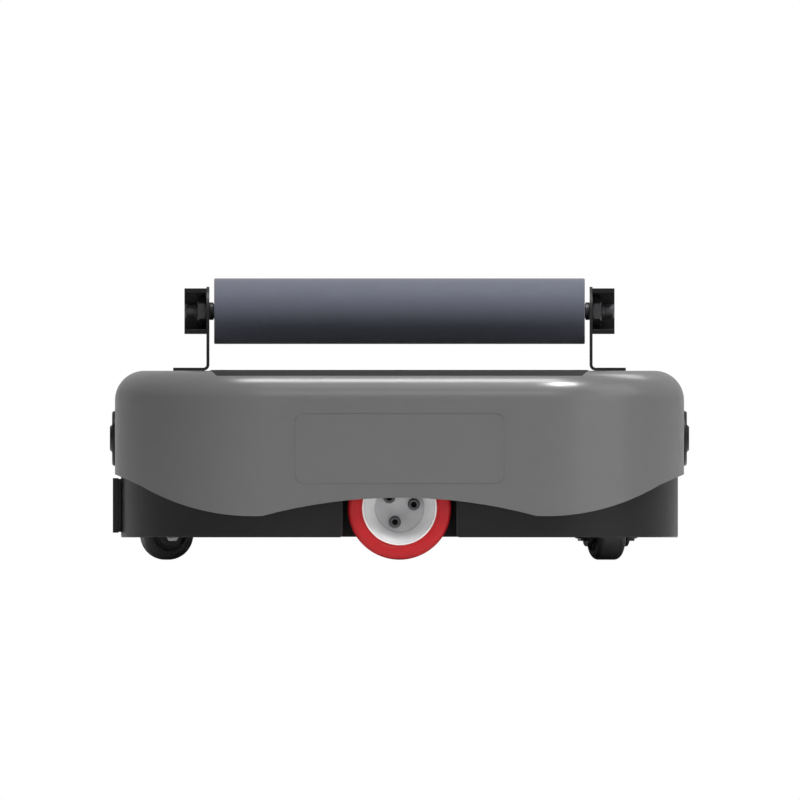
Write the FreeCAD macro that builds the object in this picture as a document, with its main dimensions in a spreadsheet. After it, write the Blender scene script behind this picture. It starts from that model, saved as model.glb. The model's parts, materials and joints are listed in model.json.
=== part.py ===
"""Robotic floor cleaner with a free-turning roller on its roof.

Millimetres, Z up. The origin is on the floor under the middle of the machine.
+X is the front, -Y the right-hand side and +Y the left-hand side.
"""
import FreeCAD, Part
import Sketcher
import os
import re
from FreeCAD import Rotation, Vector

# ---------------------------------------------------------------- dimensions

DIMENSIONS = {
    # cover: a rounded box, open below, with an arched lower edge
    "cover_length": 560, "cover_width": 420, "cover_corner": 145, "cover_top": 186,
    "cover_edge": 29, "cover_wall": 3,
    "arch_half": 135, "arch_foot": 43.1, "arch_radius": 517,
    "flank_end": 256, "flank_end_height": 73.6, "flank_radius": 218,
    "nose_end": 285, "nose_end_height": 86.2,
    # how far drills and cutting blocks run, solids overlap where they join, ends clear
    "drill_depth": 20, "past": 5, "overlap": 1, "end_clearance": 1,
    # side panels: the dust drawer's front and the battery door
    "panel_length": 205.5, "panel_height": 68.6, "panel_bottom": 75, "panel_corner": 9,
    "panel_gap": 0.4, "door_wall": 3.4, "door_round": 1.68, "door_pin_radius": 0.9,
    "door_pin_hole": 0.96, "door_pin_length": 18, "door_pin_start": 88,
    "door_pin_hole_start": 95, "door_pin_hole_length": 13,
    "door_relief_start": 93, "door_relief_end": 101.3, "door_relief_bottom": 139,
    "door_relief_depth": 6,
    # lid let into the cover's top, and the thin panel on it
    "lid_half_length": 185, "lid_half_width": 208.6, "lid_corner": 38.6, "lid_seam": 181,
    "top_panel_length": 372, "top_panel_width": 330, "top_panel_corner": 30,
    "top_panel_wall": 0.8,
    # base skirt and the pan that closes it below
    "skirt_length": 548, "skirt_width": 408, "skirt_corner": 139, "skirt_bottom": 22,
    "skirt_top": 96, "skirt_wall": 3, "skirt_lip": 1.2, "side_notch": 112,
    "side_notch_bottom": 70, "pan_bottom": 22.6, "pan_wall": 2.4,
    # steel chassis plate
    "plate_length": 520, "plate_width": 310, "plate_corner": 90, "plate_bottom": 72,
    "plate_wall": 4,
    # drive wheels
    "wheel_radius": 51, "wheel_width": 32, "wheel_outer_face": 200, "tyre_shoulder": 5,
    "hub_radius": 37, "hub_rim": 2, "hub_rim_face": 199.5, "dish_radius": 23,
    "dish_face": 188, "dish_rim_radius": 34.5, "dish_rim_face": 198,
    "bolt_circle": 14.5, "bolt_first": 14, "bolt_second": 134, "bolt_third": 252,
    "bolt_head_radius": 5, "bolt_head_height": 6, "bolt_radius": 3,
    "bolt_washer_radius": 6, "bolt_washer": 1.2, "bolt_socket_radius": 3.2,
    "bolt_socket_depth": 4, "flange_radius": 21, "flange_wall": 5,
    "shaft_radius": 6, "shaft_inner_end": 146,
    # wheel wells
    "well_half": 58, "well_wall": 2, "well_bottom": 22.5, "well_top": 106.5,
    "well_inner_face": 158, "well_outer_end": 203.5, "well_shaft_hole": 8,
    # drive gearmotors
    "gearbox_radius": 20.5, "gearbox_start": 118, "motor_radius": 18, "motor_start": 48,
    "encoder_radius": 14, "encoder_start": 38, "running_gap": 0.05,
    # casters
    "caster_spacing": 209.5, "caster_trail": 20, "caster_radius": 25,
    "caster_tread": 28, "tread_round": 6, "core_recess": 2, "core_rim": 3,
    "caster_core_radius": 17, "caster_hub_radius": 9, "caster_hub_width": 35,
    "fork_inner": 36, "fork_outer": 42, "fork_foot_radius": 12, "fork_front": 14,
    "fork_shoulder": 50, "crown_bottom": 56, "crown_top": 60,
    "collar_radius": 12, "collar_top": 62.2, "kingpin_radius": 6, "kingpin_top": 82,
    "kingpin_nut_radius": 10, "kingpin_nut_bottom": 72.5, "kingpin_nut_top": 78.5,
    "race_radius": 22, "race_bottom": 62.5, "caster_plate_length": 76,
    "caster_plate_width": 64, "caster_plate_wall": 3, "caster_axle_radius": 4,
    "caster_nut_flats": 13, "caster_nut_end": 28, "caster_axle_end": 31.5,
    "caster_pocket": 54, "rear_yaw": 12, "front_yaw": -72,
    # end sensors
    "sensor_height": 119.4, "bezel_radius": 27, "bezel_face": 282.8, "bezel_chamfer": 1.5,
    "bezel_barrel": 20, "bezel_barrel_end": 258, "lens_radius": 13.5, "lens_face": 285,
    "lens_back": 266, "lens_chamfer": 2, "sensor_hole": 20.4,
    # charging block on the rear end
    "dock_width": 150, "dock_bottom": 26.6, "dock_top": 80.4, "dock_face": 282.1,
    "dock_step": 276.5, "dock_inset": 0.7, "contact_width": 92, "contact_height": 9,
    "contact_depth": 1.5, "contact_low": 41, "contact_high": 57,
    # roller and its mounting
    "roller_height": 244.6, "sleeve_radius": 32.3, "sleeve_length": 364.8,
    "sleeve_edge": 1.2, "tube_radius": 29.5, "tube_inner": 26.5, "end_cap_wall": 14,
    "axle_radius": 7, "axle_end": 211.5, "spacer_radius": 8.7, "spacer_start": 182.8,
    "bracket_inner": 187, "sheet": 3, "bend_inner": 3, "bracket_width": 48,
    "foot_end": 222.7, "foot_hole_radius": 2.7, "foot_hole_spread": 15,
    "foot_hole_offset": 209, "countersink": 2.1, "nut_flats": 26, "nut_wall": 8.7,
    "guard_length": 21.6, "guard_size": 45, "guard_wall": 4.5, "guard_corner": 4,
    "screw_radius": 2.5, "screw_head_radius": 4.6, "screw_length": 15,
    "screw_socket_radius": 1.7, "screw_socket_depth": 1.6,
    "screw_nut_radius": 4.4, "screw_nut_wall": 4,
    # inner tray, dust bin and battery
    "tray_left": -102, "tray_right": 67, "tray_bottom": 107.5, "tray_wall": 2,
    "tray_guide_top": 112, "tray_frame_half": 110, "tray_frame_bottom": 70,
    "tray_frame_top": 149, "bin_slot_left": -100.2, "bin_slot_right": 65.2,
    "bin_left": -99, "bin_right": 64.2, "bin_bottom": 110, "bin_top": 141,
    "bin_wall": 1.8, "bin_back": 8, "right_frame": 206.4, "left_frame": 205.6,
    "outlet_near": -80, "outlet_far": -25,
    "inlet_half": 55, "inlet_bottom": 114, "inlet_top": 134,
    "battery_left": -95, "battery_right": 60, "battery_front": 24, "battery_back": 198,
    "battery_bottom": 109.5, "battery_height": 30,
    # dust chute, fan, electronics
    "chute_left": 70, "chute_right": 112, "chute_half": 66, "chute_bottom": 76,
    "chute_top": 140, "chute_wall": 2,
    "fan_x": -152, "fan_y": -50, "fan_radius": 45, "fan_bottom": 78, "fan_height": 40,
    "fan_inlet_radius": 18, "fan_inlet_depth": 10, "fan_duct_half": 25,
    "fan_duct_bottom": 110,
    "board_x": 196, "board_height": 94, "board_length": 96, "board_width": 140,
    "board_wall": 1.6, "post_radius": 3, "post_inset": 5, "switch_x": 119,
    "switch_z": 110, "switch_size": 18,
    "switch_front": 203, "switch_depth": 14, "button_radius": 8, "button_face": 210,
    "button_back": 205.2, "button_hole": 8.3, "button_round": 0.6,
    # brush deck
    "deck_left": 75, "deck_right": 145, "deck_half": 165, "deck_bottom": 27,
    "deck_top": 69, "deck_wall": 2.5, "brush_x": 108, "brush_height": 44.6,
    "bristle_radius": 20, "brush_core_radius": 11, "brush_start": -150,
    "brush_end": 92, "brush_shaft_radius": 4, "brush_journal": 8, "bristle_inset": 2,
    "deck_opening": 3, "brush_motor_radius": 17, "brush_motor_start": 96,
    "brush_motor_length": 58, "brush_motor_bore": 9, "bearing_outer": 9,
    "bearing_inner": 3, "bearing_bottom": 32,
    "spout_half": 61, "spout_right": 107, "spout_top": 106,
    "lift_x": 126, "lift_y": 100, "lift_size": 26, "lift_offset": 2, "rod_clearance": 2,
    "lift_top": 160,
    "lift_rod_radius": 4, "lift_rod_top": 140,
    "guide_x": 134, "guide_right_y": -159, "guide_left_y": 145, "guide_radius": 4,
}

# chips and connectors on the controller board: near corner, size and height
BOARD_PARTS = {
    "processor": (-10, -20, 24, 24, 4),
    "driver_right": (20, -52, 20, 16, 6),
    "driver_left": (20, 36, 20, 16, 6),
    "connector": (-42, -50, 10, 90, 9),
}
# a half circle has to be a hair wider than its chord to be drawn as one arc
HALF_CIRCLE = 1.0001

doc = FreeCAD.newDocument("RoboticFloorCleaner")
sheet = doc.addObject("Spreadsheet::Sheet", "Dimensions")
for row, (alias, number) in enumerate(DIMENSIONS.items(), start=1):
    sheet.set(f"A{row}", alias)
    sheet.set(f"B{row}", str(number))
    sheet.setAlias(f"B{row}", alias)
doc.recompute()

nodes = []

# ---------------------------------------------------------------- helpers


def formula(text):
    """Write a formula in cell names the way the expression engine reads it."""
    def full_name(match):
        word = match.group(0)
        return "Dimensions." + word if word in DIMENSIONS else word
    return re.sub(r"[a-z][a-z_]*", full_name, str(text))


def number(text):
    """The present value of a formula, for a starting position."""
    answer = sheet.evalExpression(formula(text))
    return float(getattr(answer, "Value", answer))


def bind(item, **properties):
    """Bind properties of an object to formulas."""
    for name, text in properties.items():
        item.setExpression(name, formula(text))


AXIS_TURNS = {
    "X": Rotation(Vector(0, 1, 0), 90),
    "-X": Rotation(Vector(0, 1, 0), -90),
    "Y": Rotation(Vector(1, 0, 0), -90),
    "-Y": Rotation(Vector(1, 0, 0), 90),
    "Z": Rotation(),
}


def place(item, at, turn=None):
    """Bind an object's position to three formulas and turn it."""
    item.Placement = FreeCAD.Placement(Vector(), turn or Rotation())
    for letter, text in zip("xyz", at):
        item.setExpression("Placement.Base." + letter, formula(text))
    return item


def block(name, low, high):
    """A box from its low corner to its high corner."""
    item = doc.addObject("Part::Box", name)
    sides = zip(("Length", "Width", "Height"), low, high)
    for prop, start, end in sides:
        item.setExpression(prop, formula(f"({end}) - ({start})"))
    return place(item, low)


def rod(name, radius, length, start, axis="Z"):
    """A cylinder from its start point along an axis."""
    item = doc.addObject("Part::Cylinder", name)
    bind(item, Radius=radius, Height=length)
    return place(item, start, AXIS_TURNS[axis])


def prism(name, radius, length, start, axis="Z", roll=0):
    """A hexagonal prism; radius is to its corners."""
    item = doc.addObject("Part::Prism", name)
    item.Polygon = 6
    bind(item, Circumradius=radius, Height=length)
    return place(item, start, AXIS_TURNS[axis].multiply(Rotation(Vector(0, 0, 1), roll)))


def fuse(name, *parts):
    """Join parts into one solid."""
    item = doc.addObject("Part::MultiFuse", name)
    item.Shapes = list(parts)
    item.Refine = True
    return item


def cut(name, base, *tools):
    """Take the tools away from the base."""
    item = doc.addObject("Part::Cut", name)
    item.Base = base
    item.Tool = tools[0] if len(tools) == 1 else fuse(name + "_tools", *tools)
    return item


def group(name, parts):
    """Keep separate solids together in one object."""
    item = doc.addObject("Part::Compound", name)
    item.Links = list(parts)
    return item


def ring(name, outer, inner, length, start, axis="Z"):
    """A plain tube."""
    return cut(name, rod(name + "_outer", outer, length, start, axis),
               rod(name + "_bore", inner, length, start, axis))


def node(item, name):
    """Register an object as the sub-part of that name."""
    item.Label = name
    if item.Label != name:
        raise RuntimeError(name + " is already the label of another object")
    nodes.append(item)
    return item


def origin_part(body, role):
    """One of a body's own origin planes or axes."""
    return next(part for part in body.Origin.OriginFeatures if part.Role == role)


def outline(body, name, plane, corners):
    """A closed sketch through corners bound to formulas.

    A corner is (across, up) or (across, up, radius, side): the edge that leaves
    it is then an arc of that radius, bulging to its left (1) or right (-1).
    """
    sketch = body.newObject("Sketcher::SketchObject", name)
    sketch.AttachmentSupport = [(origin_part(body, plane), "")]
    sketch.MapMode = "FlatFace"
    points = [Vector(number(corner[0]), number(corner[1]), 0) for corner in corners]
    count = len(corners)
    for index, corner in enumerate(corners):
        start, end = points[index], points[(index + 1) % count]
        if len(corner) == 2:
            sketch.addGeometry(Part.LineSegment(start, end), False)
            continue
        radius, side = number(corner[2]), corner[3]
        chord = end - start
        left = Vector(-chord.y, chord.x, 0).normalize() * side
        middle = (start + end) * 0.5
        depth = (radius ** 2 - (chord.Length / 2) ** 2) ** 0.5
        top = middle + left * (radius - depth)
        sketch.addGeometry(Part.Arc(start, top, end), False)
    ends = [arc_ends(sketch, index, points[index]) for index in range(count)]
    for index in range(count):
        following = (index + 1) % count
        sketch.addConstraint(Sketcher.Constraint(
            "Coincident", index, ends[index][1], following, ends[following][0]))
    for index, corner in enumerate(corners):
        for kind, text in (("DistanceX", corner[0]), ("DistanceY", corner[1])):
            place_number = sketch.addConstraint(Sketcher.Constraint(
                kind, -1, 1, index, ends[index][0], number(text)))
            sketch.setExpression(f"Constraints[{place_number}]", formula(text))
        if len(corner) == 4:
            place_number = sketch.addConstraint(Sketcher.Constraint(
                "Radius", index, number(corner[2])))
            sketch.setExpression(f"Constraints[{place_number}]", formula(corner[2]))
    return sketch


def arc_ends(sketch, index, start):
    """Which ends of an edge are its first and last (1 is the start, 2 the end)."""
    first = sketch.getPoint(index, 1)
    return (1, 2) if first.distanceToPoint(start) < 1e-6 else (2, 1)


def circle(body, name, plane, centre, radius):
    """A sketch of one circle bound to formulas."""
    sketch = body.newObject("Sketcher::SketchObject", name)
    sketch.AttachmentSupport = [(origin_part(body, plane), "")]
    sketch.MapMode = "FlatFace"
    middle = Vector(number(centre[0]), number(centre[1]), 0)
    sketch.addGeometry(Part.Circle(middle, Vector(0, 0, 1), number(radius)), False)
    for kind, text in (("DistanceX", centre[0]), ("DistanceY", centre[1])):
        index = sketch.addConstraint(Sketcher.Constraint(
            kind, -1, 1, 0, 3, number(text)))
        sketch.setExpression(f"Constraints[{index}]", formula(text))
    index = sketch.addConstraint(Sketcher.Constraint("Radius", 0, number(radius)))
    sketch.setExpression(f"Constraints[{index}]", formula(radius))
    return sketch


def rounded(half_x, half_y, corner, centre=("0", "0")):
    """Corners of a rounded rectangle, anticlockwise."""
    x, y = centre
    return [
        (f"{x} - ({half_x}) + {corner}", f"{y} - ({half_y})"),
        (f"{x} + ({half_x}) - {corner}", f"{y} - ({half_y})", corner, -1),
        (f"{x} + ({half_x})", f"{y} - ({half_y}) + {corner}"),
        (f"{x} + ({half_x})", f"{y} + ({half_y}) - {corner}", corner, -1),
        (f"{x} + ({half_x}) - {corner}", f"{y} + ({half_y})"),
        (f"{x} - ({half_x}) + {corner}", f"{y} + ({half_y})", corner, -1),
        (f"{x} - ({half_x})", f"{y} + ({half_y}) - {corner}"),
        (f"{x} - ({half_x})", f"{y} - ({half_y}) + {corner}", corner, -1),
    ]


def rectangle(left, low, right, high):
    """Corners of a plain rectangle, anticlockwise."""
    return [(left, low), (right, low), (right, high), (left, high)]


def pad(body, sketch, length, symmetric=False, backwards=False):
    """Raise a sketch into a solid."""
    item = body.newObject("PartDesign::Pad", sketch.Name + "_pad")
    item.Profile = sketch
    item.SideType = "Symmetric" if symmetric else "One side"
    item.Reversed = backwards
    bind(item, Length=length)
    doc.recompute()
    return item


def pocket(body, sketch, length, symmetric=False, backwards=False):
    """Sink a sketch into the body, and make sure that it took something away."""
    before = body.Shape.Volume
    item = body.newObject("PartDesign::Pocket", sketch.Name + "_pocket")
    item.Profile = sketch
    item.SideType = "Symmetric" if symmetric else "One side"
    item.Reversed = backwards
    bind(item, Length=length)
    doc.recompute()
    if body.Shape.Volume > before - 1e-3:
        raise RuntimeError(item.Name + " cuts nothing")
    return item


def turned(name, profile, at=(0, 0, 0), axis="Z"):
    """A body turned from a profile of (radius, height) corners."""
    body = doc.addObject("PartDesign::Body", name)
    sketch = outline(body, name + "_profile", "XZ_Plane", profile)
    item = body.newObject("PartDesign::Revolution", name + "_turned")
    item.Profile = sketch
    item.ReferenceAxis = (sketch, ["V_Axis"])
    item.Angle = 360
    doc.recompute()
    place(body, at, AXIS_TURNS[axis])
    return body


def edges_where(shape, test):
    """Names of the edges whose bounding box passes a test."""
    return [f"Edge{index}" for index, edge in enumerate(shape.Edges, start=1)
            if test(edge.BoundBox)]


def fillet(body, base, test, radius):
    """Round the edges that pass a test."""
    item = body.newObject("PartDesign::Fillet", body.Name + "_fillet")
    item.Base = (base, edges_where(base.Shape, test))
    bind(item, Radius=radius)
    doc.recompute()
    return item


# ---------------------------------------------------------------- shell parts


def cover_shell():
    """The cover and the lid that is let into its top."""
    body = doc.addObject("PartDesign::Body", "cover_blank")
    plan = outline(body, "cover_plan", "XY_Plane",
                   rounded("cover_length / 2", "cover_width / 2", "cover_corner"))
    solid = pad(body, plan, "cover_top")
    top = number("cover_top")
    rounded_top = fillet(body, solid, lambda box: box.ZMin > top - 0.01, "cover_edge")
    shell = body.newObject("PartDesign::Thickness", "cover_thickness")
    bottom = next(f"Face{index}" for index, face
                  in enumerate(rounded_top.Shape.Faces, start=1)
                  if face.BoundBox.ZMax < 0.01)
    shell.Base = (rounded_top, [bottom])
    shell.Reversed = True
    bind(shell, Value="cover_wall")
    doc.recompute()
    lower_edge = outline(body, "cover_lower_edge", "XZ_Plane", [
        ("-nose_end", "-past"), ("nose_end", "-past"), ("nose_end", "nose_end_height"),
        ("flank_end", "flank_end_height", "flank_radius", 1),
        ("arch_half", "arch_foot", "arch_radius", -1),
        ("-arch_half", "arch_foot", "flank_radius", 1),
        ("-flank_end", "flank_end_height"), ("-nose_end", "nose_end_height"),
    ])
    pocket(body, lower_edge, "cover_width + 2 * past", symmetric=True)
    panel = outline(body, "cover_panel_opening", "XZ_Plane", rounded(
        "panel_length / 2 + panel_gap", "panel_height / 2 + panel_gap",
        "panel_corner", ("0", "panel_bottom + panel_height / 2")))
    pocket(body, panel, "cover_width + 2 * past", symmetric=True)
    sensors = circle(body, "cover_sensor_holes", "YZ_Plane",
                     ("0", "sensor_height"), "sensor_hole")
    pocket(body, sensors, "cover_length + 2 * past", symmetric=True)
    holes = [rod("cover_button_hole", "button_hole", "drill_depth",
                 ("switch_x", "(cover_width - drill_depth) / 2", "switch_z"), "Y")]
    for name, side in (("front", 1), ("rear", -1)):
        for count, across in enumerate((-1, 1), start=1):
            holes.append(rod(f"cover_{name}_foot_hole_{count}", "foot_hole_radius",
                             "drill_depth", (f"{side} * foot_hole_offset",
                                             f"{across} * foot_hole_spread",
                                             "cover_top - drill_depth / 2")))
        holes.append(rod(f"cover_door_pin_hole_{name}", "door_pin_hole",
                         "door_pin_hole_length",
                         (f"{side} * door_pin_hole_start", "cover_width / 2 - door_round",
                          "panel_bottom + panel_height - door_round"),
                         "X" if side > 0 else "-X"))
        left, right = sorted((f"{side} * door_relief_start", f"{side} * door_relief_end"),
                             key=number)
        holes.append(block(f"cover_door_relief_{name}",
                           (left, "cover_width / 2 - door_relief_depth",
                            "door_relief_bottom"),
                           (right, "cover_width / 2 + past",
                            "panel_bottom + panel_height + panel_gap")))
    whole = cut("cover_with_holes", body, *holes)
    lid_body = doc.addObject("PartDesign::Body", "lid_blank")
    lid_plan = outline(lid_body, "lid_plan", "XY_Plane", rounded(
        "lid_half_length", "lid_half_width", "lid_corner"))
    pad(lid_body, lid_plan, "cover_top + past - lid_seam")
    place(lid_body, ("0", "0", "lid_seam"))
    node(cut("cover_without_lid", whole, lid_body), "cover_shell")
    lid = doc.addObject("Part::Common", "lid_cut_out")
    lid.Base = whole
    lid.Tool = lid_body
    node(lid, "top_lid")


def top_panel():
    body = doc.addObject("PartDesign::Body", "top_panel")
    plan = outline(body, "top_panel_plan", "XY_Plane", rounded(
        "top_panel_length / 2", "top_panel_width / 2", "top_panel_corner"))
    pad(body, plan, "top_panel_wall")
    place(body, ("0", "0", "cover_top"))
    node(body, "top_panel")


def base_skirt():
    """The band around the foot of the machine and the flat pan inside it."""
    body = doc.addObject("PartDesign::Body", "skirt_blank")
    plan = outline(body, "skirt_plan", "XY_Plane", rounded(
        "skirt_length / 2", "skirt_width / 2", "skirt_corner"))
    solid = pad(body, plan, "skirt_top - skirt_bottom")
    fillet(body, solid, lambda box: box.ZMax < 0.01, "skirt_lip")
    hollow = outline(body, "skirt_hollow", "XY_Plane", rounded(
        "skirt_length / 2 - skirt_wall", "skirt_width / 2 - skirt_wall",
        "skirt_corner - skirt_wall"))
    pocket(body, hollow, "skirt_top - skirt_bottom", backwards=True)
    place(body, ("0", "0", "skirt_bottom"))
    doc.recompute()
    low, high = "skirt_bottom - past", "skirt_top + past"
    notch = block("skirt_side_notch", ("-side_notch", "-skirt_width", "side_notch_bottom"),
                  ("side_notch", "skirt_width", high))
    openings = block("skirt_wheel_openings", ("-well_half", "-skirt_width", low),
                     ("well_half", "skirt_width", high))
    node(cut("skirt_with_openings", body, notch, openings), "base_skirt")

    pan = doc.addObject("PartDesign::Body", "pan_blank")
    pan_plan = outline(pan, "pan_plan", "XY_Plane", rounded(
        "skirt_length / 2 - skirt_wall", "skirt_width / 2 - skirt_wall",
        "skirt_corner - skirt_wall"))
    pad(pan, pan_plan, "pan_wall")
    place(pan, ("0", "0", "pan_bottom"))
    tools = [block("pan_brush_opening",
                   ("deck_left - deck_opening", "-deck_half - deck_opening", low),
                   ("deck_right + deck_opening", "deck_half + deck_opening", high))]
    for name, side in (("right", -1), ("left", 1)):
        near, far = sorted((f"{side} * well_inner_face", f"{side} * skirt_width"), key=number)
        tools.append(block(f"pan_{name}_wheel_opening", ("-well_half", near, low),
                           ("well_half", far, high)))
    for name, side in (("front", 1), ("rear", -1)):
        tools.append(block(f"pan_{name}_caster_pocket",
                           (f"{side} * caster_spacing - caster_pocket", "-caster_pocket", low),
                           (f"{side} * caster_spacing + caster_pocket", "caster_pocket",
                            high)))
    node(cut("pan_with_openings", pan, *tools), "base_pan")


def chassis_plate():
    body = doc.addObject("PartDesign::Body", "plate_blank")
    plan = outline(body, "plate_plan", "XY_Plane", rounded(
        "plate_length / 2", "plate_width / 2", "plate_corner"))
    pad(body, plan, "plate_wall")
    place(body, ("0", "0", "plate_bottom"))
    low, high = "plate_bottom - past", "plate_bottom + plate_wall + past"
    tools = [block("plate_spout_opening",
                   ("deck_left - deck_opening", "-spout_half - deck_opening", low),
                   ("spout_right + deck_opening", "spout_half + deck_opening", high))]
    for name, side in (("front", 1), ("rear", -1)):
        tools.append(rod(f"plate_{name}_kingpin_hole", "kingpin_nut_radius + deck_opening",
                         "drill_depth", (f"{side} * caster_spacing", "0", low)))
    tools.append(rod("plate_lift_hole", "lift_rod_radius * 3 / 2", "drill_depth",
                     ("lift_x", "lift_y", low)))
    node(cut("plate_with_openings", body, *tools), "chassis_plate")


def wheel_well(name, side):
    """A liner open below and to the outside; side is -1 on the right."""
    def across(text):
        return f"{side} * ({text})"

    def span(item_name, left, right, first, second, low, high):
        near, far = (second, first) if side < 0 else (first, second)
        return block(item_name, (left, across(near), low), (right, across(far), high))

    outer = span(name + "_outer", "-well_half", "well_half", "well_inner_face",
                 "well_outer_end", "well_bottom", "well_top")
    inner = span(name + "_space", "-well_half + well_wall", "well_half - well_wall",
                 "well_inner_face + well_wall", "well_outer_end + past",
                 "well_bottom - past", "well_top - well_wall")
    hole = rod(name + "_shaft_hole", "well_shaft_hole", "well_wall + 2 * past",
               ("0", across("well_inner_face - past"), "wheel_radius"),
               "Y" if side > 0 else "-Y")
    node(cut(name + "_liner", outer, inner, hole), name)


def sensor(name, side):
    """A bezel through the cover's end and the lens in it."""
    axis = "X" if side > 0 else "-X"
    at = ("0", "0", "sensor_height")
    bezel = turned(f"{name}_sensor_bezel", [
        ("lens_radius", "bezel_barrel_end"), ("bezel_barrel", "bezel_barrel_end"),
        ("bezel_barrel", "cover_length / 2"), ("bezel_radius", "cover_length / 2"),
        ("bezel_radius", "bezel_face - bezel_chamfer"),
        ("bezel_radius - bezel_chamfer", "bezel_face"), ("lens_radius", "bezel_face"),
    ], at, axis)
    node(bezel, f"{name}_sensor_bezel")
    lens = turned(f"{name}_sensor_lens", [
        ("0", "lens_back"), ("lens_radius", "lens_back"),
        ("lens_radius", "lens_face - lens_chamfer"),
        ("lens_radius - lens_chamfer", "lens_face"), ("0", "lens_face"),
    ], at, axis)
    node(lens, f"{name}_sensor_lens")


def dock():
    """The stepped charging block on the rear end, with two flush contact strips."""
    outer = block("dock_outer", ("-dock_face", "-dock_width / 2", "dock_bottom"),
                  ("-dock_step", "dock_width / 2", "dock_top"))
    backing = block("dock_backing",
                    ("-dock_step", "-dock_width / 2 + dock_inset", "dock_bottom + dock_inset"),
                    ("-skirt_length / 2", "dock_width / 2 - dock_inset",
                     "dock_top - dock_inset"))
    pockets, strips = [], []
    for name, level in (("lower", "contact_low"), ("upper", "contact_high")):
        low = ("-dock_face", "-contact_width / 2", level)
        high = ("-dock_face + contact_depth", "contact_width / 2",
                f"{level} + contact_height")
        pockets.append(block(f"dock_{name}_pocket", low, high))
        strips.append(block(f"dock_{name}_strip", low, high))
    node(cut("dock_with_pockets", fuse("dock_steps", outer, backing), *pockets),
         "dock_block")
    node(group("dock_strips", strips), "dock_contacts")


# ---------------------------------------------------------------- roller


def roller_bracket(name, side):
    """A bent sheet: a foot on the cover and a plate with a round top."""
    body = doc.addObject("PartDesign::Body", name + "_blank")
    turn = "bend_inner + sheet"
    top = "roller_height + bracket_width / 2"
    bent = outline(body, name + "_bend", "XZ_Plane", [
        ("bracket_inner", f"cover_top + {turn}", turn, -1),
        (f"bracket_inner + {turn}", "cover_top"), ("foot_end", "cover_top"),
        ("foot_end", "cover_top + sheet"),
        (f"bracket_inner + {turn}", "cover_top + sheet", "bend_inner", 1),
        ("bracket_inner + sheet", f"cover_top + {turn}"),
        ("bracket_inner + sheet", top), ("bracket_inner", top),
    ])
    pad(body, bent, "bracket_width", symmetric=True)
    half = "bracket_width / 2"
    crown = outline(body, name + "_crown", "YZ_Plane", [
        ("-bracket_width", "roller_height"), (f"-{half}", "roller_height", half, 1),
        ("0", top, half, 1), (half, "roller_height"), ("bracket_width", "roller_height"),
        ("bracket_width", f"{top} + past"), ("-bracket_width", f"{top} + past"),
    ])
    pocket(body, crown, "foot_end + past", backwards=True)
    place(body, (0, 0, 0), Rotation(Vector(0, 0, 1), 0 if side > 0 else 180))
    holes = [rod(name + "_axle_hole", "axle_radius + running_gap", "drill_depth",
                 (f"{side} * (bracket_inner - past)", "0", "roller_height"),
                 "X" if side > 0 else "-X")]
    for count, across in enumerate((-1, 1), start=1):
        x, y = f"{side} * foot_hole_offset", f"{across} * foot_hole_spread"
        holes.append(rod(f"{name}_foot_hole_{count}", "foot_hole_radius", "drill_depth",
                         (x, y, "cover_top - past")))
        sink = doc.addObject("Part::Cone", f"{name}_countersink_{count}")
        bind(sink, Radius1="foot_hole_radius",
             Radius2="foot_hole_radius + screw_head_radius - screw_radius",
             Height="countersink")
        holes.append(place(sink, (x, y, "cover_top + sheet - countersink")))
    node(cut(name + "_drilled", body, *holes), name)


def bracket_screws():
    """Countersunk screws through the brackets' feet, each with its nut below."""
    screws = []
    for end, side in (("front", 1), ("rear", -1)):
        for count, across in enumerate((-1, 1), start=1):
            name = f"screw_{end}_{count}"
            x, y = f"{side} * foot_hole_offset", f"{across} * foot_hole_spread"
            head = doc.addObject("Part::Cone", name + "_head")
            bind(head, Radius1="screw_radius", Radius2="screw_head_radius",
                 Height="countersink")
            place(head, (x, y, "cover_top + sheet - countersink"))
            socket = prism(name + "_socket", "screw_socket_radius", "screw_socket_depth",
                           (x, y, "cover_top + sheet - screw_socket_depth"))
            shank = rod(name + "_shank", "screw_radius", "screw_length - countersink",
                        (x, y, "cover_top + sheet - screw_length"))
            nut = prism(name + "_nut", "screw_nut_radius", "screw_nut_wall",
                        (x, y, "cover_top - cover_wall - screw_nut_wall"))
            screws.append(cut(name, fuse(name + "_solid", head, shank, nut), socket))
    node(group("bracket_screw_set", screws), "bracket_screws")


def roller():
    along = ("-sleeve_length / 2", "0", "roller_height")
    sleeve = turned("roller_sleeve", [
        ("tube_radius", "0"), ("sleeve_radius - sleeve_edge", "0", "sleeve_edge", -1),
        ("sleeve_radius", "sleeve_edge"),
        ("sleeve_radius", "sleeve_length - sleeve_edge", "sleeve_edge", -1),
        ("sleeve_radius - sleeve_edge", "sleeve_length"), ("tube_radius", "sleeve_length"),
    ], along, "X")
    node(sleeve, "roller_sleeve")
    tube = ring("roller_tube", "tube_radius", "tube_inner", "sleeve_length", along, "X")
    plates = [ring(f"roller_plate_{name}", "tube_inner", "axle_radius + running_gap",
                   "end_cap_wall", (start, "0", "roller_height"), "X")
              for name, start in (("rear", "-sleeve_length / 2"),
                                  ("front", "sleeve_length / 2 - end_cap_wall"))]
    node(fuse("roller_core_solid", tube, *plates), "roller_core")
    node(rod("roller_axle_rod", "axle_radius", "2 * axle_end",
             ("-axle_end", "0", "roller_height"), "X"), "roller_axle")


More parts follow.
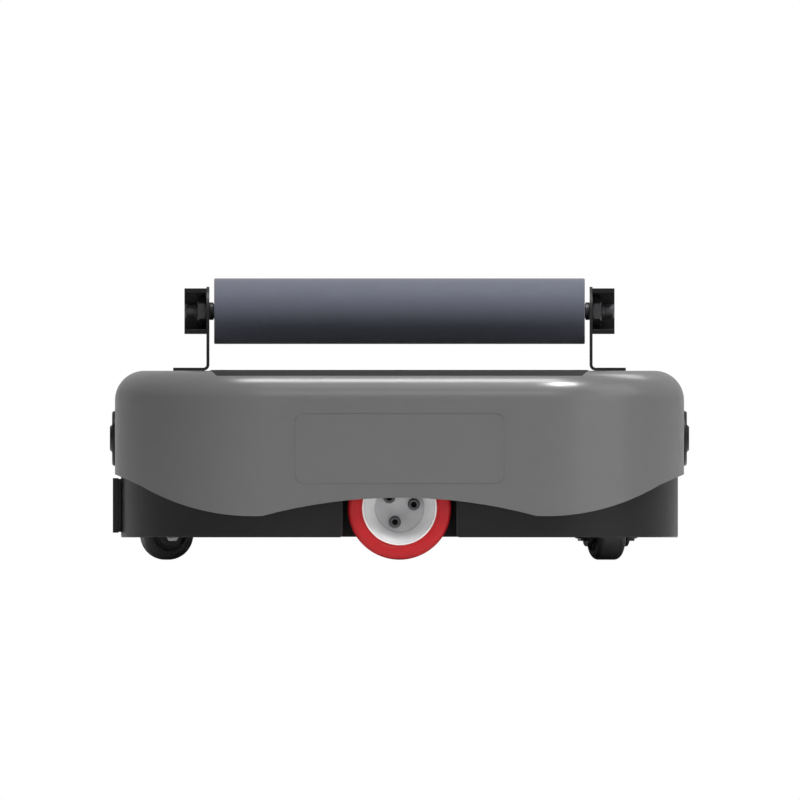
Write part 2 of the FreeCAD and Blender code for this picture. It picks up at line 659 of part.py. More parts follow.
def axle_nuts():
    """A hexagon nut outside and a spacer inside each bracket."""
    pieces = []
    for name, side in (("front", 1), ("rear", -1)):
        axis = "X" if side > 0 else "-X"
        outside = f"{side} * (bracket_inner + sheet)"
        nut = prism(f"axle_nut_{name}", "nut_flats / sqrt(3)", "nut_wall",
                    (outside, "0", "roller_height"), axis, roll=90)
        bore = rod(f"axle_nut_{name}_bore", "axle_radius", "nut_wall",
                   (outside, "0", "roller_height"), axis)
        pieces.append(cut(f"axle_nut_{name}_bored", nut, bore))
        pieces.append(ring(f"axle_spacer_{name}", "spacer_radius", "axle_radius",
                           "bracket_inner - spacer_start",
                           (f"{side} * spacer_start", "0", "roller_height"), axis))
    node(group("axle_nut_set", pieces), "axle_nuts")


def axle_guard(name, side):
    """A C-shaped guard around the axle's end, open to the right-hand side."""
    body = doc.addObject("PartDesign::Body", name)
    half = "guard_size / 2"
    shape = outline(body, name + "_section", "YZ_Plane", [
        (f"-{half}", f"-{half}"), (f"{half} - guard_corner", f"-{half}", "guard_corner", -1),
        (half, f"-{half} + guard_corner"),
        (half, f"{half} - guard_corner", "guard_corner", -1),
        (f"{half} - guard_corner", half), (f"-{half}", half),
        (f"-{half}", f"{half} - guard_wall"),
        (f"{half} - guard_wall", f"{half} - guard_wall"),
        (f"{half} - guard_wall", f"-{half} + guard_wall"),
        (f"-{half}", f"-{half} + guard_wall"),
    ])
    pad(body, shape, "guard_length")
    start = "bracket_inner + sheet" if side > 0 else "-bracket_inner - sheet - guard_length"
    place(body, (start, "0", "roller_height"))
    node(body, name)


# ---------------------------------------------------------------- drive wheels


def drive_wheel(name, side):
    """Tyre, hub, three bolts and the shaft; side is -1 on the right."""
    axis = "Y" if side > 0 else "-Y"
    inner_face = "wheel_outer_face - wheel_width"
    at = ("0", f"{side} * ({inner_face})", "wheel_radius")

    tyre = turned(f"{name}_drive_tyre", [
        ("hub_radius", "0"), ("wheel_radius - tyre_shoulder", "0", "tyre_shoulder", -1),
        ("wheel_radius", "tyre_shoulder"),
        ("wheel_radius", "wheel_width - tyre_shoulder", "tyre_shoulder", -1),
        ("wheel_radius - tyre_shoulder", "wheel_width"), ("hub_radius", "wheel_width"),
    ], at, axis)
    node(tyre, f"{name}_drive_tyre")

    def depth(face):
        return f"{face} - wheel_outer_face + wheel_width"

    hub = turned(f"{name}_hub_blank", [
        ("0", "0"), ("hub_radius", "0"), ("hub_radius", depth("hub_rim_face")),
        ("hub_radius - hub_rim", depth("hub_rim_face")),
        ("dish_rim_radius", depth("dish_rim_face")), ("dish_radius", depth("dish_face")),
        ("0", depth("dish_face")),
    ], at, axis)
    flange_start = f"{side} * ({inner_face} - flange_wall)"
    shaft = fuse(f"{name}_shaft_solid",
                 rod(f"{name}_flange", "flange_radius", "flange_wall",
                     ("0", flange_start, "wheel_radius"), axis),
                 rod(f"{name}_shaft_rod", "shaft_radius",
                     f"{inner_face} - flange_wall - shaft_inner_end",
                     ("0", f"{side} * shaft_inner_end", "wheel_radius"), axis))
    bolts, hub_holes, flange_holes = [], [], []
    for angle in ("bolt_first", "bolt_second", "bolt_third"):
        x = f"bolt_circle * cos({angle})"
        z = f"wheel_radius + bolt_circle * sin({angle})"
        label = f"{name}_{angle}"

        def part(suffix, radius, length, start):
            return rod(label + suffix, radius, length, (x, f"{side} * ({start})", z), axis)

        washer = part("_washer", "bolt_washer_radius", "bolt_washer", "dish_face")
        head = part("_head", "bolt_head_radius", "bolt_head_height",
                    "dish_face + bolt_washer")
        shank = part("_shank", "bolt_radius", "dish_face + overlap - wheel_outer_face"
                     " + wheel_width + flange_wall", f"{inner_face} - flange_wall")
        socket = prism(label + "_socket", "bolt_socket_radius", "bolt_socket_depth + overlap",
                       (x, f"{side} * (dish_face + bolt_washer + bolt_head_height"
                           " - bolt_socket_depth)", z), axis)
        bolts.append(cut(label, fuse(label + "_solid", washer, head, shank), socket))
        hub_holes.append(part("_hub_hole", "bolt_radius", "wheel_width", inner_face))
        flange_holes.append(part("_flange_hole", "bolt_radius", "flange_wall",
                                 f"{inner_face} - flange_wall"))
    node(cut(f"{name}_hub_drilled", hub, *hub_holes), f"{name}_drive_hub")
    node(group(f"{name}_bolt_set", bolts), f"{name}_hub_bolts")
    node(cut(f"{name}_shaft_drilled", shaft, *flange_holes), f"{name}_drive_shaft")


def drive_motor(name, side):
    """Gearbox, motor and encoder in line, behind the wheel well."""
    bore = "shaft_radius + running_gap"
    body = turned(name, [
        ("0", "encoder_start"), ("encoder_radius", "encoder_start"),
        ("encoder_radius", "motor_start"), ("motor_radius", "motor_start"),
        ("motor_radius", "gearbox_start"), ("gearbox_radius", "gearbox_start"),
        ("gearbox_radius", "well_inner_face"), (bore, "well_inner_face"),
        (bore, "shaft_inner_end - end_clearance"), ("0", "shaft_inner_end - end_clearance"),
    ], ("0", "0", "wheel_radius"), "Y" if side > 0 else "-Y")
    node(body, name)


# ---------------------------------------------------------------- casters


def caster(name, side, yaw):
    """A swivel caster: fixed plate with race, fork with kingpin, axle and wheel."""
    x = f"{side} * caster_spacing"
    top_plate = block(f"{name}_plate_blank",
                      (f"{x} - caster_plate_length / 2", "-caster_plate_width / 2",
                       "plate_bottom - caster_plate_wall"),
                      (f"{x} + caster_plate_length / 2", "caster_plate_width / 2",
                       "plate_bottom"))
    race = rod(f"{name}_race", "race_radius", "plate_bottom - race_bottom - overlap",
               (x, "0", "race_bottom"))
    bore = rod(f"{name}_race_bore", "kingpin_radius + running_gap", "drill_depth",
               (x, "0", "race_bottom - past"))
    node(cut(f"{name}_plate_bored", fuse(f"{name}_plate_solid", top_plate, race), bore),
         f"{name}_caster_plate")

    turn = Rotation(Vector(0, 0, 1), number(yaw))
    back = "-caster_trail - fork_foot_radius"
    body = doc.addObject("PartDesign::Body", f"{name}_fork_blank")
    sides = outline(body, f"{name}_fork_side", "XZ_Plane", [
        (back, "crown_top"),
        (back, "caster_radius", f"fork_foot_radius * {HALF_CIRCLE}", -1),
        ("-caster_trail + fork_foot_radius", "caster_radius"),
        ("fork_front", "fork_shoulder"), ("fork_front", "crown_top"),
    ])
    pad(body, sides, "fork_outer", symmetric=True)
    space = outline(body, f"{name}_fork_space", "YZ_Plane", rectangle(
        "-fork_inner / 2", "0", "fork_inner / 2", "crown_bottom"))
    pocket(body, space, "2 * caster_pocket", symmetric=True)
    kingpin = turned(f"{name}_kingpin", [
        ("0", "crown_top - overlap"), ("collar_radius", "crown_top - overlap"),
        ("collar_radius", "collar_top"), ("kingpin_radius", "collar_top"),
        ("kingpin_radius", "kingpin_nut_bottom"),
        ("kingpin_nut_radius", "kingpin_nut_bottom"),
        ("kingpin_nut_radius", "kingpin_nut_top"), ("kingpin_radius", "kingpin_nut_top"),
        ("kingpin_radius", "kingpin_top"), ("0", "kingpin_top"),
    ])
    axle_hole = rod(f"{name}_fork_holes", "caster_axle_radius", "2 * caster_pocket",
                    ("-caster_trail", "-caster_pocket", "caster_radius"), "Y")
    fork = cut(f"{name}_fork", fuse(f"{name}_fork_solid", body, kingpin), axle_hole)
    place(fork, (x, "0", "0"), turn)
    node(fork, f"{name}_caster_fork")

    pieces = [rod(f"{name}_axle_rod", "caster_axle_radius", "2 * caster_axle_end",
                  ("-caster_trail", "-caster_axle_end", "caster_radius"), "Y")]
    for label, axis, way in (("near", "-Y", -1), ("far", "Y", 1)):
        pieces.append(prism(f"{name}_axle_nut_{label}", "caster_nut_flats / sqrt(3)",
                            "caster_nut_end - fork_outer / 2",
                            ("-caster_trail", f"{way} * fork_outer / 2", "caster_radius"),
                            axis))
    axle = fuse(f"{name}_axle_solid", *pieces)
    place(axle, (x, "0", "0"), turn)
    node(axle, f"{name}_caster_axle")

    bore = "caster_axle_radius + running_gap"
    half_hub, half_tread = "caster_hub_width / 2", "caster_tread / 2"
    core = turned(f"{name}_core_turned", [
        (bore, f"-{half_hub}"), ("caster_hub_radius", f"-{half_hub}"),
        ("caster_hub_radius", f"-{half_tread} + core_recess"),
        ("caster_core_radius - core_rim", f"-{half_tread} + core_recess"),
        ("caster_core_radius", f"-{half_tread}"), ("caster_core_radius", half_tread),
        ("caster_core_radius - core_rim", f"{half_tread} - core_recess"),
        ("caster_hub_radius", f"{half_tread} - core_recess"),
        ("caster_hub_radius", half_hub), (bore, half_hub),
    ])
    tread = turned(f"{name}_tread_turned", [
        ("caster_core_radius", f"-{half_tread}"),
        ("caster_radius - tread_round", f"-{half_tread}", "tread_round", -1),
        ("caster_radius", f"-{half_tread} + tread_round"),
        ("caster_radius", f"{half_tread} - tread_round", "tread_round", -1),
        ("caster_radius - tread_round", half_tread), ("caster_core_radius", half_tread),
    ])
    upright = turn.multiply(AXIS_TURNS["Y"])
    for item, label in ((core, "wheel"), (tread, "tread")):
        place(item, (f"{x} - caster_trail * cos({yaw})", f"-caster_trail * sin({yaw})",
                     "caster_radius"), upright)
        node(item, f"{name}_caster_{label}")


# ---------------------------------------------------------------- inner parts


def inner_tray():
    """A shelf across the machine, with a slotted frame behind each side panel."""
    parts = [
        block("tray_shelf", ("tray_left", "-right_frame", "tray_bottom"),
              ("tray_right", "left_frame", "tray_bottom + tray_wall")),
        block("tray_rear_guide", ("tray_left", "-right_frame", "tray_bottom"),
              ("bin_slot_left", "left_frame", "tray_guide_top")),
        block("tray_front_guide", ("bin_slot_right", "-right_frame", "tray_bottom"),
              ("tray_right", "left_frame", "tray_guide_top")),
    ]
    slots = []
    for name, low, high in (("right", "-right_frame", "-right_frame + tray_wall"),
                            ("left", "left_frame - tray_wall", "left_frame")):
        parts.append(block(f"tray_{name}_frame",
                           ("-tray_frame_half", low, "tray_frame_bottom"),
                           ("tray_frame_half", high, "tray_frame_top")))
        slots.append(block(f"tray_{name}_slot",
                           ("bin_slot_left", f"{low} - overlap", "tray_bottom + tray_wall"),
                           ("bin_slot_right", f"{high} + overlap", "bin_top + end_clearance")))
    node(cut("tray_slotted", fuse("tray_solid", *parts), *slots), "inner_tray")


def dust_drawer():
    body = doc.addObject("PartDesign::Body", "drawer_front")
    face = outline(body, "drawer_face", "XZ_Plane", rounded(
        "panel_length / 2", "panel_height / 2", "panel_corner",
        ("0", "panel_bottom + panel_height / 2")))
    pad(body, face, "cover_wall")
    place(body, ("0", "-cover_width / 2 + cover_wall", "0"))
    node(body, "drawer_front")

    back_of_front = "-cover_width / 2 + cover_wall"
    outer = block("bin_outer", ("bin_left", back_of_front, "bin_bottom"),
                  ("bin_right", "bin_back", "bin_top"))
    inner = block("bin_space", ("bin_left + bin_wall", f"{back_of_front} + bin_wall",
                                "bin_bottom + bin_wall"),
                  ("bin_right - bin_wall", "bin_back - bin_wall", "bin_top + past"))
    inlet = block("bin_inlet", ("bin_right - past", "-inlet_half", "inlet_bottom"),
                  ("bin_right + past", "0", "inlet_top"))
    outlet = block("bin_outlet", ("bin_left - past", "outlet_near", "inlet_bottom"),
                   ("bin_left + past", "outlet_far", "inlet_top"))
    node(cut("bin_open", outer, inner, inlet, outlet), "dust_bin")


def battery():
    body = doc.addObject("PartDesign::Body", "door_blank")
    face = outline(body, "door_face", "XZ_Plane", rounded(
        "panel_length / 2", "panel_height / 2", "panel_corner",
        ("0", "panel_bottom + panel_height / 2")))
    solid = pad(body, face, "door_wall", backwards=True)
    top = number("panel_bottom + panel_height")
    fillet(body, solid, lambda box: box.ZMin > top - 0.01, "door_round")
    place(body, ("0", "cover_width / 2 - door_wall", "0"))
    pins = [rod(f"door_pin_{name}", "door_pin_radius", "door_pin_length",
                (f"{side} * door_pin_start", "cover_width / 2 - door_round",
                 "panel_bottom + panel_height - door_round"),
                "X" if side > 0 else "-X") for name, side in (("front", 1), ("rear", -1))]
    node(fuse("battery_door_solid", body, *pins), "battery_door")
    case = block("battery_case", ("battery_left", "battery_front", "battery_bottom"),
                 ("battery_right", "battery_back", "battery_bottom + battery_height"))
    node(case, "battery_pack")


def dust_chute():
    """Duct from the brush deck's spout to the bin's inlet."""
    outer = block("chute_outer", ("chute_left", "-chute_half", "chute_bottom"),
                  ("chute_right", "chute_half", "chute_top"))
    inner = block("chute_space",
                  ("chute_left + chute_wall", "-chute_half + chute_wall",
                   "chute_bottom - past"),
                  ("chute_right - chute_wall", "chute_half - chute_wall",
                   "chute_top - chute_wall"))
    mouth = block("chute_mouth", ("chute_left - past", "-inlet_half", "inlet_bottom"),
                  ("chute_left + past", "0", "inlet_top"))
    node(cut("chute_open", outer, inner, mouth), "dust_chute")


def suction_fan():
    scroll = rod("fan_scroll", "fan_radius", "fan_height", ("fan_x", "fan_y", "fan_bottom"))
    duct = block("fan_duct", ("fan_x", "fan_y - fan_duct_half", "fan_duct_bottom"),
                 ("tray_left - end_clearance", "fan_y + fan_duct_half", "fan_bottom + fan_height"))
    inlet = rod("fan_inlet", "fan_inlet_radius", "drill_depth",
                ("fan_x", "fan_y", "fan_bottom + fan_height - fan_inlet_depth"))
    node(cut("fan_open", fuse("fan_solid", scroll, duct), inlet), "suction_fan")


def electronics():
    board = [block("board", ("board_x - board_length / 2", "-board_width / 2", "board_height"),
                   ("board_x + board_length / 2", "board_width / 2",
                    "board_height + board_wall"))]
    base = "board_height + board_wall"
    for name, (x, y, long, wide, high) in BOARD_PARTS.items():
        board.append(block("board_" + name, (f"board_x + {x}", f"{y}", base),
                           (f"board_x + {x + long}", f"{y + wide}", f"{base} + {high}")))
    for count, (x, y) in enumerate(((-1, -1), (-1, 1), (1, -1), (1, 1)), start=1):
        board.append(rod(f"board_post_{count}", "post_radius",
                         "board_height - plate_bottom - plate_wall",
                         (f"board_x + {x} * (board_length / 2 - post_inset)",
                          f"{y} * (board_width / 2 - post_inset)",
                          "plate_bottom + plate_wall")))
    node(fuse("board_solid", *board), "controller_board")
    half = "switch_size / 2"
    node(block("switch_case", (f"switch_x - {half}", "switch_front - switch_depth",
                               f"switch_z - {half}"),
               (f"switch_x + {half}", "switch_front", f"switch_z + {half}")), "power_switch")
    button = turned("button_cap", [
        ("0", "button_back"), ("button_radius", "button_back"),
        ("button_radius", "button_face - button_round"),
        ("button_radius - button_round", "button_face"),
        ("0", "button_face"),
    ], ("switch_x", "0", "switch_z"), "Y")
    node(button, "power_button")


# ---------------------------------------------------------------- brush deck


def brush_deck():
    """The housing, open below, with its spout and the bushes that guide it."""
    outer = block("deck_outer", ("deck_left", "-deck_half", "deck_bottom"),
                  ("deck_right", "deck_half", "deck_top"))
    spout = block("deck_spout", ("deck_left", "-spout_half", "deck_top - deck_wall"),
                  ("spout_right", "spout_half", "spout_top"))
    inner = block("deck_space", ("deck_left + deck_wall", "-deck_half + deck_wall",
                                 "deck_bottom - past"),
                  ("deck_right - deck_wall", "deck_half - deck_wall",
                   "deck_top - deck_wall"))
    throat = block("deck_throat",
                   ("deck_left + deck_wall", "-spout_half + deck_wall", "deck_top - past"),
                   ("spout_right - deck_wall", "spout_half - deck_wall", "spout_top + past"))
    bearing = block("deck_bearing", ("deck_left", "brush_start - bearing_outer",
                                     "bearing_bottom"),
                    ("deck_right", "brush_start - bearing_inner", "deck_top"))
    pivot = rod("deck_bearing_bore", "brush_shaft_radius + running_gap", "drill_depth",
                ("brush_x", "brush_start - drill_depth", "brush_height"), "Y")
    bulkhead = block("deck_bulkhead", ("deck_left", "brush_end + end_clearance", "bearing_bottom"),
                     ("deck_right", "brush_motor_start", "deck_top"))
    passage = rod("deck_bulkhead_bore", "brush_shaft_radius + end_clearance", "drill_depth",
                  ("brush_x", "brush_end - past", "brush_height"), "Y")
    bores = [rod(f"deck_bush_bore_{name}", "guide_radius + running_gap",
                 "deck_top - deck_bottom + drill_depth",
                 ("guide_x", f"guide_{name}_y", "deck_bottom - past"))
             for name in ("right", "left")]
    shell = cut("deck_shell", fuse("deck_solid", outer, spout), inner)
    inside = cut("deck_with_throat", fuse("deck_walls", shell, bearing, bulkhead), throat,
                 pivot, passage, *bores)
    node(inside, "deck_housing")

    core = turned("brush_core_turned", [
        ("0", "-brush_journal"), ("brush_shaft_radius", "-brush_journal"),
        ("brush_shaft_radius", "0"), ("brush_core_radius", "0"),
        ("brush_core_radius", "brush_end - brush_start"),
        ("brush_shaft_radius", "brush_end - brush_start"),
        ("brush_shaft_radius", "brush_motor_start - brush_start + brush_journal"),
        ("0", "brush_motor_start - brush_start + brush_journal"),
    ], ("brush_x", "brush_start", "brush_height"), "Y")
    node(core, "brush_core")
    node(ring("bristle_ring", "bristle_radius", "brush_core_radius",
              "brush_end - brush_start - 2 * bristle_inset",
              ("brush_x", "brush_start + bristle_inset", "brush_height"), "Y"),
         "brush_bristles")
    motor_bore = "brush_shaft_radius + running_gap"
    motor = turned("brush_motor_turned", [
        (motor_bore, "0"), ("brush_motor_radius", "0"),
        ("brush_motor_radius", "brush_motor_length"), ("0", "brush_motor_length"),
        ("0", "brush_motor_bore"), (motor_bore, "brush_motor_bore"),
    ], ("brush_x", "brush_motor_start", "brush_height"), "Y")
    node(motor, "brush_motor")

    case = block("lift_case",
                 ("lift_x - lift_size / 2 + lift_offset", "lift_y - lift_size / 2",
                  "plate_bottom + plate_wall"),
                 ("lift_x + lift_size / 2 + lift_offset", "lift_y + lift_size / 2",
                  "lift_top"))
    bore = rod("lift_bore", "lift_rod_radius + running_gap",
               "lift_rod_top - plate_bottom + rod_clearance",
               ("lift_x", "lift_y", "plate_bottom"))
    node(cut("lift_case_bored", case, bore), "lift_actuator")
    node(rod("lift_rod_solid", "lift_rod_radius", "lift_rod_top - deck_top",
             ("lift_x", "lift_y", "deck_top")), "lift_rod")
    guides = [rod(f"guide_rod_{name}", "guide_radius", "plate_bottom - deck_bottom + past",
                  ("guide_x", f"guide_{name}_y", "deck_bottom - past"))
              for name in ("right", "left")]
    node(group("guide_rod_pair", guides), "lift_guide_rods")


# ---------------------------------------------------------------- assembly

cover_shell()
top_panel()
base_skirt()
chassis_plate()
wheel_well("right_wheel_well", -1)
wheel_well("left_wheel_well", 1)
for end, way in (("front", 1), ("rear", -1)):
    sensor(end, way)
    roller_bracket(f"{end}_roller_bracket", way)
    axle_guard(f"{end}_axle_guard", way)
dock()
bracket_screws()
roller()
axle_nuts()
for hand, way in (("right", -1), ("left", 1)):
    drive_wheel(hand, way)
    drive_motor(f"{hand}_drive_motor", way)
caster("front", 1, "front_yaw")
caster("rear", -1, "rear_yaw")
inner_tray()
dust_drawer()
battery()
dust_chute()
suction_fan()
electronics()
brush_deck()
doc.recompute()

# ---------------------------------------------------------------- checks and files

for item in doc.Objects:
    if "Invalid" in item.State or "Error" in item.State:
        raise RuntimeError(f"{item.Name}: {item.State}")
for item in nodes:
    if item.Shape.isNull() or not item.Shape.isValid():
        raise RuntimeError(f"{item.Label} has no valid shape")
os.makedirs("parts", exist_ok=True)
for item in nodes:
    item.Shape.exportStep(f"parts/{item.Label}.step")
    print(item.Label, len(item.Shape.Solids), round(item.Shape.Volume))
print(len(nodes), "nodes")
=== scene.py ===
"""Looks of the robotic floor cleaner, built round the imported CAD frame.

Metres, Z up, in the frame of the CAD model: +X is the front, -Y the right-hand side.
"""
import json
import math
import random

import bmesh
import bpy
from mathutils import Matrix, Vector

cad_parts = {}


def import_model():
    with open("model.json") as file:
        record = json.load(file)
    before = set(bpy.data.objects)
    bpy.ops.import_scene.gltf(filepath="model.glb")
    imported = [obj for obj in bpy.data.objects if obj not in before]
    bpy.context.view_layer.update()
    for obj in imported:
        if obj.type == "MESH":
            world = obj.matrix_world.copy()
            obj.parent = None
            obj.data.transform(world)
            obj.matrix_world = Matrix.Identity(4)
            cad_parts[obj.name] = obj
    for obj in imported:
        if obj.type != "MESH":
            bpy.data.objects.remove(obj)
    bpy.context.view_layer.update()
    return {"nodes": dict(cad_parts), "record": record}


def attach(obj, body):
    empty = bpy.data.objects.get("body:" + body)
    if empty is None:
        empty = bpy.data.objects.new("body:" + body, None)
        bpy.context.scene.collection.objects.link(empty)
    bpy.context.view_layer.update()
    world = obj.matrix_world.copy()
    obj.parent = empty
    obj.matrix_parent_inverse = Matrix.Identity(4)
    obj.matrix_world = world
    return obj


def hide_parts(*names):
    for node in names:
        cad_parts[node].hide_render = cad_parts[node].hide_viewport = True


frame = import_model()
NODES = frame["nodes"]
MM = 0.001

# ---------------------------------------------------------------- view and light

# power of the key light in watts; the other lights are shares of it
KEY_POWER = 70.0
# name, direction from the object, distance, size across and up, share of the key
LIGHTS = [
    ("key", (0.28, -0.40, 0.87), 3.0, (0.7, 0.6), 1.0),
    ("overhead", (0.0, -0.16, 1.0), 3.0, (1.4, 0.8), 0.7),
    ("behind_right", (0.4, 0.55, 0.7), 3.0, (0.9, 0.7), 0.1),
    ("right_low", (0.75, -0.6, 0.15), 4.0, (3.0, 1.5), 0.15),
    ("front_mid", (0.1, -0.85, 0.45), 4.0, (1.8, 1.2), 0.15),
    ("front_high", (0.15, -0.6, 0.8), 4.0, (1.8, 1.2), 0.1),
    ("right_high", (0.8, -0.25, 0.55), 4.0, (2.6, 2.2), 0.3),
]
AIM = Vector((0.0, 0.0, 0.12))
# brightness of the surroundings in front of the machine and behind it
SKY_FRONT, SKY_BACK = 0.25, 0.4


def camera():
    """A level, parallel view of the right-hand side."""
    data = bpy.data.cameras.new("camera")
    data.type = "ORTHO"
    data.ortho_scale = 0.7872
    data.clip_end = 50
    item = bpy.data.objects.new("camera", data)
    item.location = (0.0005, -4.0, 0.1572)
    item.rotation_euler = (math.radians(90), 0, 0)
    bpy.context.collection.objects.link(item)
    bpy.context.scene.camera = item


def area_light(name, direction, distance, size, share):
    """A soft rectangular light aimed at the middle of the machine."""
    data = bpy.data.lights.new(name, "AREA")
    data.shape = "RECTANGLE"
    data.size, data.size_y = size
    data.energy = KEY_POWER * share
    item = bpy.data.objects.new(name, data)
    towards = Vector(direction).normalized()
    item.location = AIM + towards * distance
    item.rotation_euler = (-towards).to_track_quat("-Z", "Y").to_euler()
    bpy.context.collection.objects.link(item)


def world():
    """White to the camera; as light, a dim front and a bright backdrop behind."""
    scene = bpy.context.scene
    sky = bpy.data.worlds.new("studio")
    sky.use_nodes = True
    tree = sky.node_tree
    tree.nodes.clear()

    def add(kind, **values):
        made = tree.nodes.new(kind)
        for socket, value in values.items():
            made.inputs[socket].default_value = value
        return made

    output = add("ShaderNodeOutputWorld")
    choice = add("ShaderNodeMixShader")
    path = add("ShaderNodeLightPath")
    direction = add("ShaderNodeTexCoord")
    parts = add("ShaderNodeSeparateXYZ")
    ramp = add("ShaderNodeMapRange")
    ramp.interpolation_type = "SMOOTHSTEP"
    for socket, value in (("From Min", -0.1), ("From Max", 0.75),
                          ("To Min", SKY_FRONT), ("To Max", SKY_BACK)):
        ramp.inputs[socket].default_value = value
    soft = add("ShaderNodeBackground", Color=(1, 1, 1, 1))
    white = add("ShaderNodeBackground", Color=(1, 1, 1, 1), Strength=1.0)
    link = tree.links.new
    link(direction.outputs["Generated"], parts.inputs["Vector"])
    link(parts.outputs["Y"], ramp.inputs["Value"])
    link(ramp.outputs["Result"], soft.inputs["Strength"])
    link(path.outputs["Is Camera Ray"], choice.inputs["Fac"])
    link(soft.outputs[0], choice.inputs[1])
    link(white.outputs[0], choice.inputs[2])
    link(choice.outputs[0], output.inputs["Surface"])
    scene.world = sky
    scene.view_settings.view_transform = "Standard"
    scene.view_settings.look = "None"


def studio():
    """Camera, world, lights and the floor."""
    camera()
    world()
    for light in LIGHTS:
        area_light(*light)
    mesh = bpy.data.meshes.new("floor")
    half = 3.0
    mesh.from_pydata([(-half, -half, 0), (half, -half, 0), (half, half, 0),
                      (-half, half, 0)], [], [(0, 1, 2, 3)])
    mesh.materials.append(surface("floor_paper", (0.80, 0.80, 0.80), 0.7, grain=0.02,
                                  grain_scale=30, bump=0.00002, bump_scale=400))
    floor = bpy.data.objects.new("floor", mesh)
    bpy.context.collection.objects.link(floor)


# ---------------------------------------------------------------- materials


def surface(name, colour, roughness, metallic=0.0, coat=0.0, specular=0.5, grain=0.05,
            grain_scale=60, streak=(1, 1, 1), rough_spread=0.06, bump=0.00001,
            bump_scale=900, edge=0.0, wear=0.0, transmission=0.0, sheen=0.0):
    """A principled material with mottled colour, uneven gloss and a fine relief.

    grain is how far the colour strays, streak stretches the pattern, bump is the
    height of the relief in metres, edge the radius of softened edges, and wear
    how much lighter rubbed patches are.
    """
    item = bpy.data.materials.new(name)
    item.use_nodes = True
    tree = item.node_tree
    link = tree.links.new
    shader = tree.nodes["Principled BSDF"]
    for socket, value in (("Metallic", metallic), ("Coat Weight", coat),
                          ("Coat Roughness", 0.08), ("Specular IOR Level", specular),
                          ("Transmission Weight", transmission), ("Sheen Weight", sheen)):
        shader.inputs[socket].default_value = value
    place = tree.nodes.new("ShaderNodeTexCoord")
    stretch = tree.nodes.new("ShaderNodeMapping")
    stretch.inputs["Scale"].default_value = streak
    link(place.outputs["Object"], stretch.inputs["Vector"])

    def noise(scale, detail, rough=0.55):
        made = tree.nodes.new("ShaderNodeTexNoise")
        made.inputs["Scale"].default_value = scale
        made.inputs["Detail"].default_value = detail
        made.inputs["Roughness"].default_value = rough
        link(stretch.outputs["Vector"], made.inputs["Vector"])
        return made.outputs["Fac"]

    def spread(source, low, high, start=0.3, end=0.7):
        made = tree.nodes.new("ShaderNodeMapRange")
        for socket, value in (("From Min", start), ("From Max", end),
                              ("To Min", low), ("To Max", high)):
            made.inputs[socket].default_value = value
        link(source, made.inputs["Value"])
        return made.outputs["Result"]

    mottle = noise(grain_scale, 5)
    brightness = spread(mottle, 1 - grain, 1 + grain)
    tint = tree.nodes.new("ShaderNodeVectorMath")
    tint.operation = "SCALE"
    tint.inputs[0].default_value = colour
    link(brightness, tint.inputs["Scale"])
    paint = tint.outputs["Vector"]
    if wear:
        patches = spread(noise(grain_scale * 0.2, 8, 0.7), 0, wear, 0.52, 0.75)
        rubbed = tree.nodes.new("ShaderNodeMix")
        rubbed.data_type = "RGBA"
        pale = tuple(min(1.0, part * 1.6 + 0.02) for part in colour)
        rubbed.inputs[7].default_value = (*pale, 1)
        link(patches, rubbed.inputs[0])
        link(paint, rubbed.inputs[6])
        paint = rubbed.outputs[2]
    link(paint, shader.inputs["Base Color"])
    link(spread(noise(grain_scale * 0.35, 4), max(0.02, roughness - rough_spread),
                roughness + rough_spread), shader.inputs["Roughness"])
    relief = tree.nodes.new("ShaderNodeBump")
    relief.inputs["Strength"].default_value = 1.0
    relief.inputs["Distance"].default_value = bump
    link(noise(bump_scale, 2), relief.inputs["Height"])
    if edge:
        soft = tree.nodes.new("ShaderNodeBevel")
        soft.samples = 4
        soft.inputs["Radius"].default_value = edge
        link(soft.outputs["Normal"], relief.inputs["Normal"])
    link(relief.outputs["Normal"], shader.inputs["Normal"])
    return item


